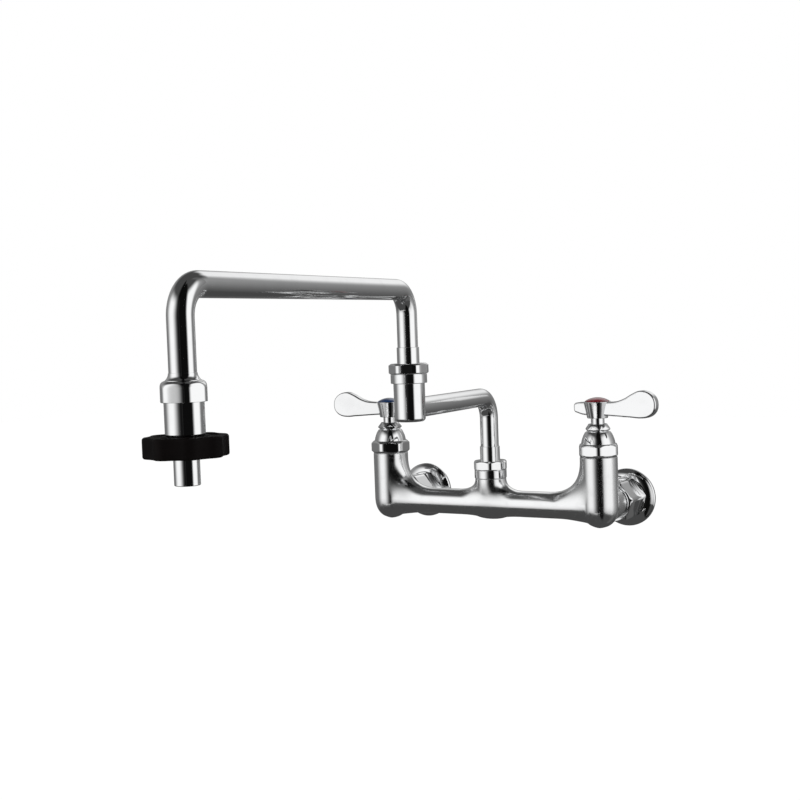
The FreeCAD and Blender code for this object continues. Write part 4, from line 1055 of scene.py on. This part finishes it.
def make_throttle(axis):
    """Barrel screwed into the outlet nut, and the spout whose spindle turns inside it."""
    foot, end = heights_of("throttle_body")[0], heights_of("outlet_coupling_nut")[0]
    thread_top = end + THROTTLE_THREAD_LENGTH
    barrel = [(THROTTLE_BORE, foot), (THROTTLE_RADIUS, foot, 0.5), (THROTTLE_RADIUS, end - 0.02),
              (THROTTLE_THREAD_RADIUS, end - 0.02), (THROTTLE_THREAD_RADIUS, thread_top),
              (THROTTLE_BORE, thread_top)]
    turned_piece("throttle_barrel", [round_mesh(barrel)], axis, "turned_chrome", "upper_arm",
                 ["throttle_body"])
    low, high = heights_of("outlet_tube")
    wheel_foot = heights_of("hand_wheel")[0]
    head_foot, head_top = high - SPINDLE_HEAD_LENGTH, high - SPINDLE_END
    spout = [(SPOUT_BORE, low, 0.3), (SPOUT_RADIUS, low, 0.5), (SPOUT_RADIUS, wheel_foot),
             (SPINDLE_RADIUS, wheel_foot), (SPINDLE_RADIUS, head_foot), (SPINDLE_HEAD_RADIUS, head_foot),
             (SPINDLE_HEAD_RADIUS, head_top), (SPOUT_BORE, head_top)]
    turned_piece("outlet_spout", [round_mesh(spout)], axis, "turned_chrome", "throttle", ["outlet_tube"])


def wheel_edge(angle):
    """Distance of the wheel's edge from its axis over the angle: lobes and flutes, tangent arcs."""
    half_step = math.pi / WHEEL_LOBES
    centre = WHEEL_RADIUS - WHEEL_LOBE_RADIUS
    flute = (centre ** 2 + WHEEL_FLUTE_RADIUS ** 2 - WHEEL_LOBE_RADIUS ** 2
             - 2 * centre * WHEEL_FLUTE_RADIUS * math.cos(half_step))
    flute /= 2 * (WHEEL_LOBE_RADIUS - WHEEL_FLUTE_RADIUS + centre * math.cos(half_step))
    flute_centre = WHEEL_FLUTE_RADIUS + flute
    towards = np.array((flute_centre * math.cos(half_step) - centre, flute_centre * math.sin(half_step)))
    joint = np.array((centre, 0.0)) + unit(towards) * WHEEL_LOBE_RADIUS
    offset = np.abs((angle + half_step) % (2 * half_step) - half_step)
    lobe = centre * np.cos(offset)
    lobe += np.sqrt(np.maximum(WHEEL_LOBE_RADIUS ** 2 - (centre * np.sin(offset)) ** 2, 0))
    back = half_step - offset
    hollow = flute_centre * np.cos(back)
    hollow -= np.sqrt(np.maximum(flute ** 2 - (flute_centre * np.sin(back)) ** 2, 0))
    return np.where(offset < math.atan2(joint[1], joint[0]), lobe, hollow)


def make_wheel():
    """Moulded hand wheel: lobed grip, dished top with a raised hub, and a hollow underside."""
    low, high = heights_of("hand_wheel")
    hub_foot, web, dish = low + WHEEL_HUB_LIFT, high - WHEEL_WEB_DROP, high - WHEEL_DISH_DEPTH
    outline = [(WHEEL_BORE, hub_foot), (WHEEL_HUB_RADIUS, hub_foot, 0.5),
               (WHEEL_HUB_RADIUS + 0.3, web, 1.0), (WHEEL_RECESS_RADIUS, web, 1.2),
               (WHEEL_RECESS_RADIUS + 0.8, low, 0.8), (WHEEL_RADIUS, low, 1.3), (WHEEL_RADIUS, high, 1.6),
               (WHEEL_RECESS_RADIUS + 1.2, high, 0.8), (WHEEL_RECESS_RADIUS, dish, 1.2),
               (WHEEL_DISH_RADIUS, dish, 0.8), (WHEEL_DISH_RADIUS - 0.8, high, 0.6),
               (WHEEL_BORE, high, 0.3)]
    places, sides = (np.array(part) for part in zip(*outline_points(outline)))
    angle = np.arange(WHEEL_STEPS) * 2 * math.pi / WHEEL_STEPS
    share = smooth(np.clip((places[:, :1] - WHEEL_RIM_START) / WHEEL_RIM_WIDTH, 0.0, 1.0))
    radius = places[:, :1] + (wheel_edge(angle) - WHEEL_RADIUS) * share
    slope = slope_over(angle, wheel_edge) * share
    mesh = ringed_mesh(angle, radius, slope, places[:, 1:], sides[:, :1], sides[:, 1:], True)
    turned_piece("grip_wheel", [mesh], axis_of("hand_wheel"), "wheel", "throttle", ["hand_wheel"])


# Studio

def make_camera():
    data = bpy.data.cameras.new("camera")
    data.lens = CAMERA_LENS
    data.sensor_width = CAMERA_SENSOR
    camera = new_object("camera", data)
    camera.location = CAMERA_PLACE
    camera.rotation_euler = Euler([math.radians(angle) for angle in CAMERA_TURN])
    bpy.context.scene.camera = camera
    bpy.context.scene.view_settings.view_transform = "Standard"


def make_world():
    world = bpy.data.worlds.new("white_studio")
    world.use_nodes = True
    tree = world.node_tree
    feed(tree, tree.nodes["Background"], Color=(1.0, 1.0, 1.0, 1.0), Strength=1.0)
    bpy.context.scene.world = world


def stage_piece(name, vertices, faces, material, reflections_only=True):
    piece = new_object(name, new_mesh(name, vertices, faces, material))
    if reflections_only:
        for flag in ("visible_camera", "visible_diffuse", "visible_shadow", "visible_volume_scatter"):
            setattr(piece, flag, False)
    return piece


def level_square(reach, height):
    return [(x * reach, y * reach, height) for x, y in ((-1, -1), (1, -1), (1, 1), (-1, 1))]


def make_floor():
    """Pale floor that keeps a soft shadow and looks white to the camera, metal and glass."""
    material, tree = empty_material("pale_floor")
    paint = add(tree, "BsdfDiffuse", Color=(FLOOR_COLOUR, FLOOR_COLOUR, FLOOR_COLOUR, 1.0))
    ray = add(tree, "LightPath").outputs
    seen = math_node(tree, "MAXIMUM", ray["Is Camera Ray"], ray["Is Glossy Ray"])
    seen = math_node(tree, "MAXIMUM", seen, ray["Is Transmission Ray"])
    glow = add(tree, "Emission", Strength=math_node(tree, "MULTIPLY", seen, FLOOR_GLOW))
    both = add(tree, "AddShader", i0=paint.outputs[0], i1=glow.outputs[0])
    add(tree, "OutputMaterial", Surface=both.outputs[0])
    stage_piece("floor", level_square(FLOOR_RADIUS, FLOOR_HEIGHT), [(0, 1, 2, 3)], material, False)


def make_window_mask():
    """Mask of a soft-edged window, over the direction's azimuth and elevation in degrees."""
    sides = (("Azimuth", "Left", 1.0), ("Azimuth", "Right", -1.0),
             ("Elevation", "Foot", 1.0), ("Elevation", "Head", -1.0))
    inputs = {"Azimuth": 0.0, "Elevation": 0.0}
    for value, edge, way in sides:
        inputs.update({edge: 0.0, edge + " Fade": 10.0})
    tree, into = group_tree("window_mask", inputs, ("Mask",))
    product = 1.0
    for value, edge, way in sides:
        over = math_node(tree, "SUBTRACT", into[value], into[edge])
        share = math_node(tree, "DIVIDE", math_node(tree, "MULTIPLY", over, way), into[edge + " Fade"])
        product = math_node(tree, "MULTIPLY", product, soft_step(tree, share, -1.0, 1.0))
    return group_out(tree, Mask=product)


def surround_material():
    """Grey that brightens upwards, dark far above and below, clear where the windows let white in."""
    material, tree = empty_material("surround")
    place = add(tree, "TexCoord").outputs["Object"]
    direction = add(tree, "VectorMath", {"operation": "NORMALIZE"}, i0=place).outputs[0]
    parts = add(tree, "SeparateXYZ", Vector=direction).outputs
    azimuth = math_node(tree, "DEGREES", math_node(tree, "ARCTAN2", parts["Y"], parts["X"]))
    elevation = math_node(tree, "DEGREES", math_node(tree, "ARCSINE", parts["Z"]))
    mask = make_window_mask()

    def masked(values):
        made = placed_group(tree, mask, Azimuth=azimuth, Elevation=elevation, **values)
        return made.outputs["Mask"]

    cover = 0.0
    for share, window in WINDOWS:
        cover = math_node(tree, "MAXIMUM", cover, math_node(tree, "MULTIPLY", masked(window), share))
    sloped = math_node(tree, "MULTIPLY_ADD", elevation, WALL_SLOPE, WALL_GREY - LIMIT_GREY)
    level = math_node(tree, "MULTIPLY_ADD", masked(MIDDLE_BAND), sloped, LIMIT_GREY)
    shaded = math_node(tree, "MULTIPLY_ADD", masked(DARK_STRIP), -DARK_SHARE, 1.0)
    level = math_node(tree, "MULTIPLY", level, shaded)
    grey = add(tree, "Emission", Color=(1.0, 1.0, 1.0, 1.0), Strength=level).outputs[0]
    clear = add(tree, "BsdfTransparent").outputs[0]
    mix = add(tree, "MixShader", i0=cover, i1=grey, i2=clear)
    add(tree, "OutputMaterial", Surface=mix.outputs[0])
    return material


def make_surround():
    """Sphere round the mixer, seen only in the metal."""
    columns, rows = SURROUND_COLUMNS, SURROUND_ROWS
    vertices, faces = [], []
    for row in range(rows + 1):
        up = math.pi * (row / rows - 0.5)
        level, height = SURROUND_RADIUS * math.cos(up), SURROUND_RADIUS * math.sin(up)
        for column in range(columns):
            turn = 2 * math.pi * column / columns
            vertices.append((level * math.cos(turn), level * math.sin(turn), height))
    for low in range(0, rows * columns, columns):
        for column in range(columns):
            following, high = (column + 1) % columns, low + columns
            faces.append((low + column, low + following, high + following, high + column))
    piece = stage_piece("surround", vertices, faces, surround_material())
    piece.location = SURROUND_CENTRE


def make_flat_card(name, corners, level, inward=(0.0, 1.0, 1.0, 0.0), fade=0.0, share=1.0):
    """Plain card of one grey, seen only in the metal; it fades in from the corners where inward is 0."""
    material, tree = empty_material(name)
    surface = add(tree, "Emission", Color=(level, level, level, 1.0)).outputs[0]
    if fade:
        depth = add(tree, "Attribute", {"attribute_name": "inward"}).outputs["Fac"]
        clear = add(tree, "BsdfTransparent").outputs[0]
        cover = math_node(tree, "MULTIPLY", soft_step(tree, depth, 0.0, fade), share)
        surface = add(tree, "MixShader", i0=cover, i1=clear, i2=surface).outputs[0]
    add(tree, "OutputMaterial", Surface=surface)
    piece = stage_piece(name, corners, [(0, 1, 2, 3)], material)
    layer = piece.data.attributes.new("inward", "FLOAT", "POINT")
    layer.data.foreach_set("value", inward)


def make_cards():
    for name, near, far, low, high, level, inward, fade, share in CARDS:
        corners = [(*near, low), (*far, low), (*far, high), (*near, high)]
        make_flat_card(name, corners, level, inward, fade, share)
    make_flat_card("under_card", level_square(UNDER_CARD_REACH, FLOOR_HEIGHT + 0.01), LIMIT_GREY)


def make_lamp(name, place, size, power):
    """Square lamp that faces the middle of the surround and isn't seen in the metal."""
    data = bpy.data.lights.new(name, "AREA")
    data.shape = "RECTANGLE"
    data.size = size
    data.size_y = size
    data.energy = power
    lamp = new_object(name, data)
    lamp.location = place
    aim = np.array(SURROUND_CENTRE) - np.array(place)
    tilt = math.atan2(math.hypot(aim[0], aim[1]), -aim[2])
    lamp.rotation_euler = Euler((tilt, 0.0, math.atan2(-aim[0], aim[1])))
    lamp.visible_glossy = False


dress_nodes()
make_casting()
for side in ("left", "right"):
    make_wall_connection(side)
    make_bonnet(side)
    make_gland_nut(side)
    make_button(side)
    make_lever(side)
make_swivel("base", "body", "lower_arm")
make_swivel("elbow", "lower_arm", "upper_arm")
make_elbow_cup()
make_arms()
outlet_axis = axis_of("throttle_body")
make_outlet_nut(outlet_axis)
make_throttle(outlet_axis)
make_wheel()
make_camera()
make_world()
make_floor()
make_surround()
make_cards()
for lamp in LAMPS:
    make_lamp(*lamp)
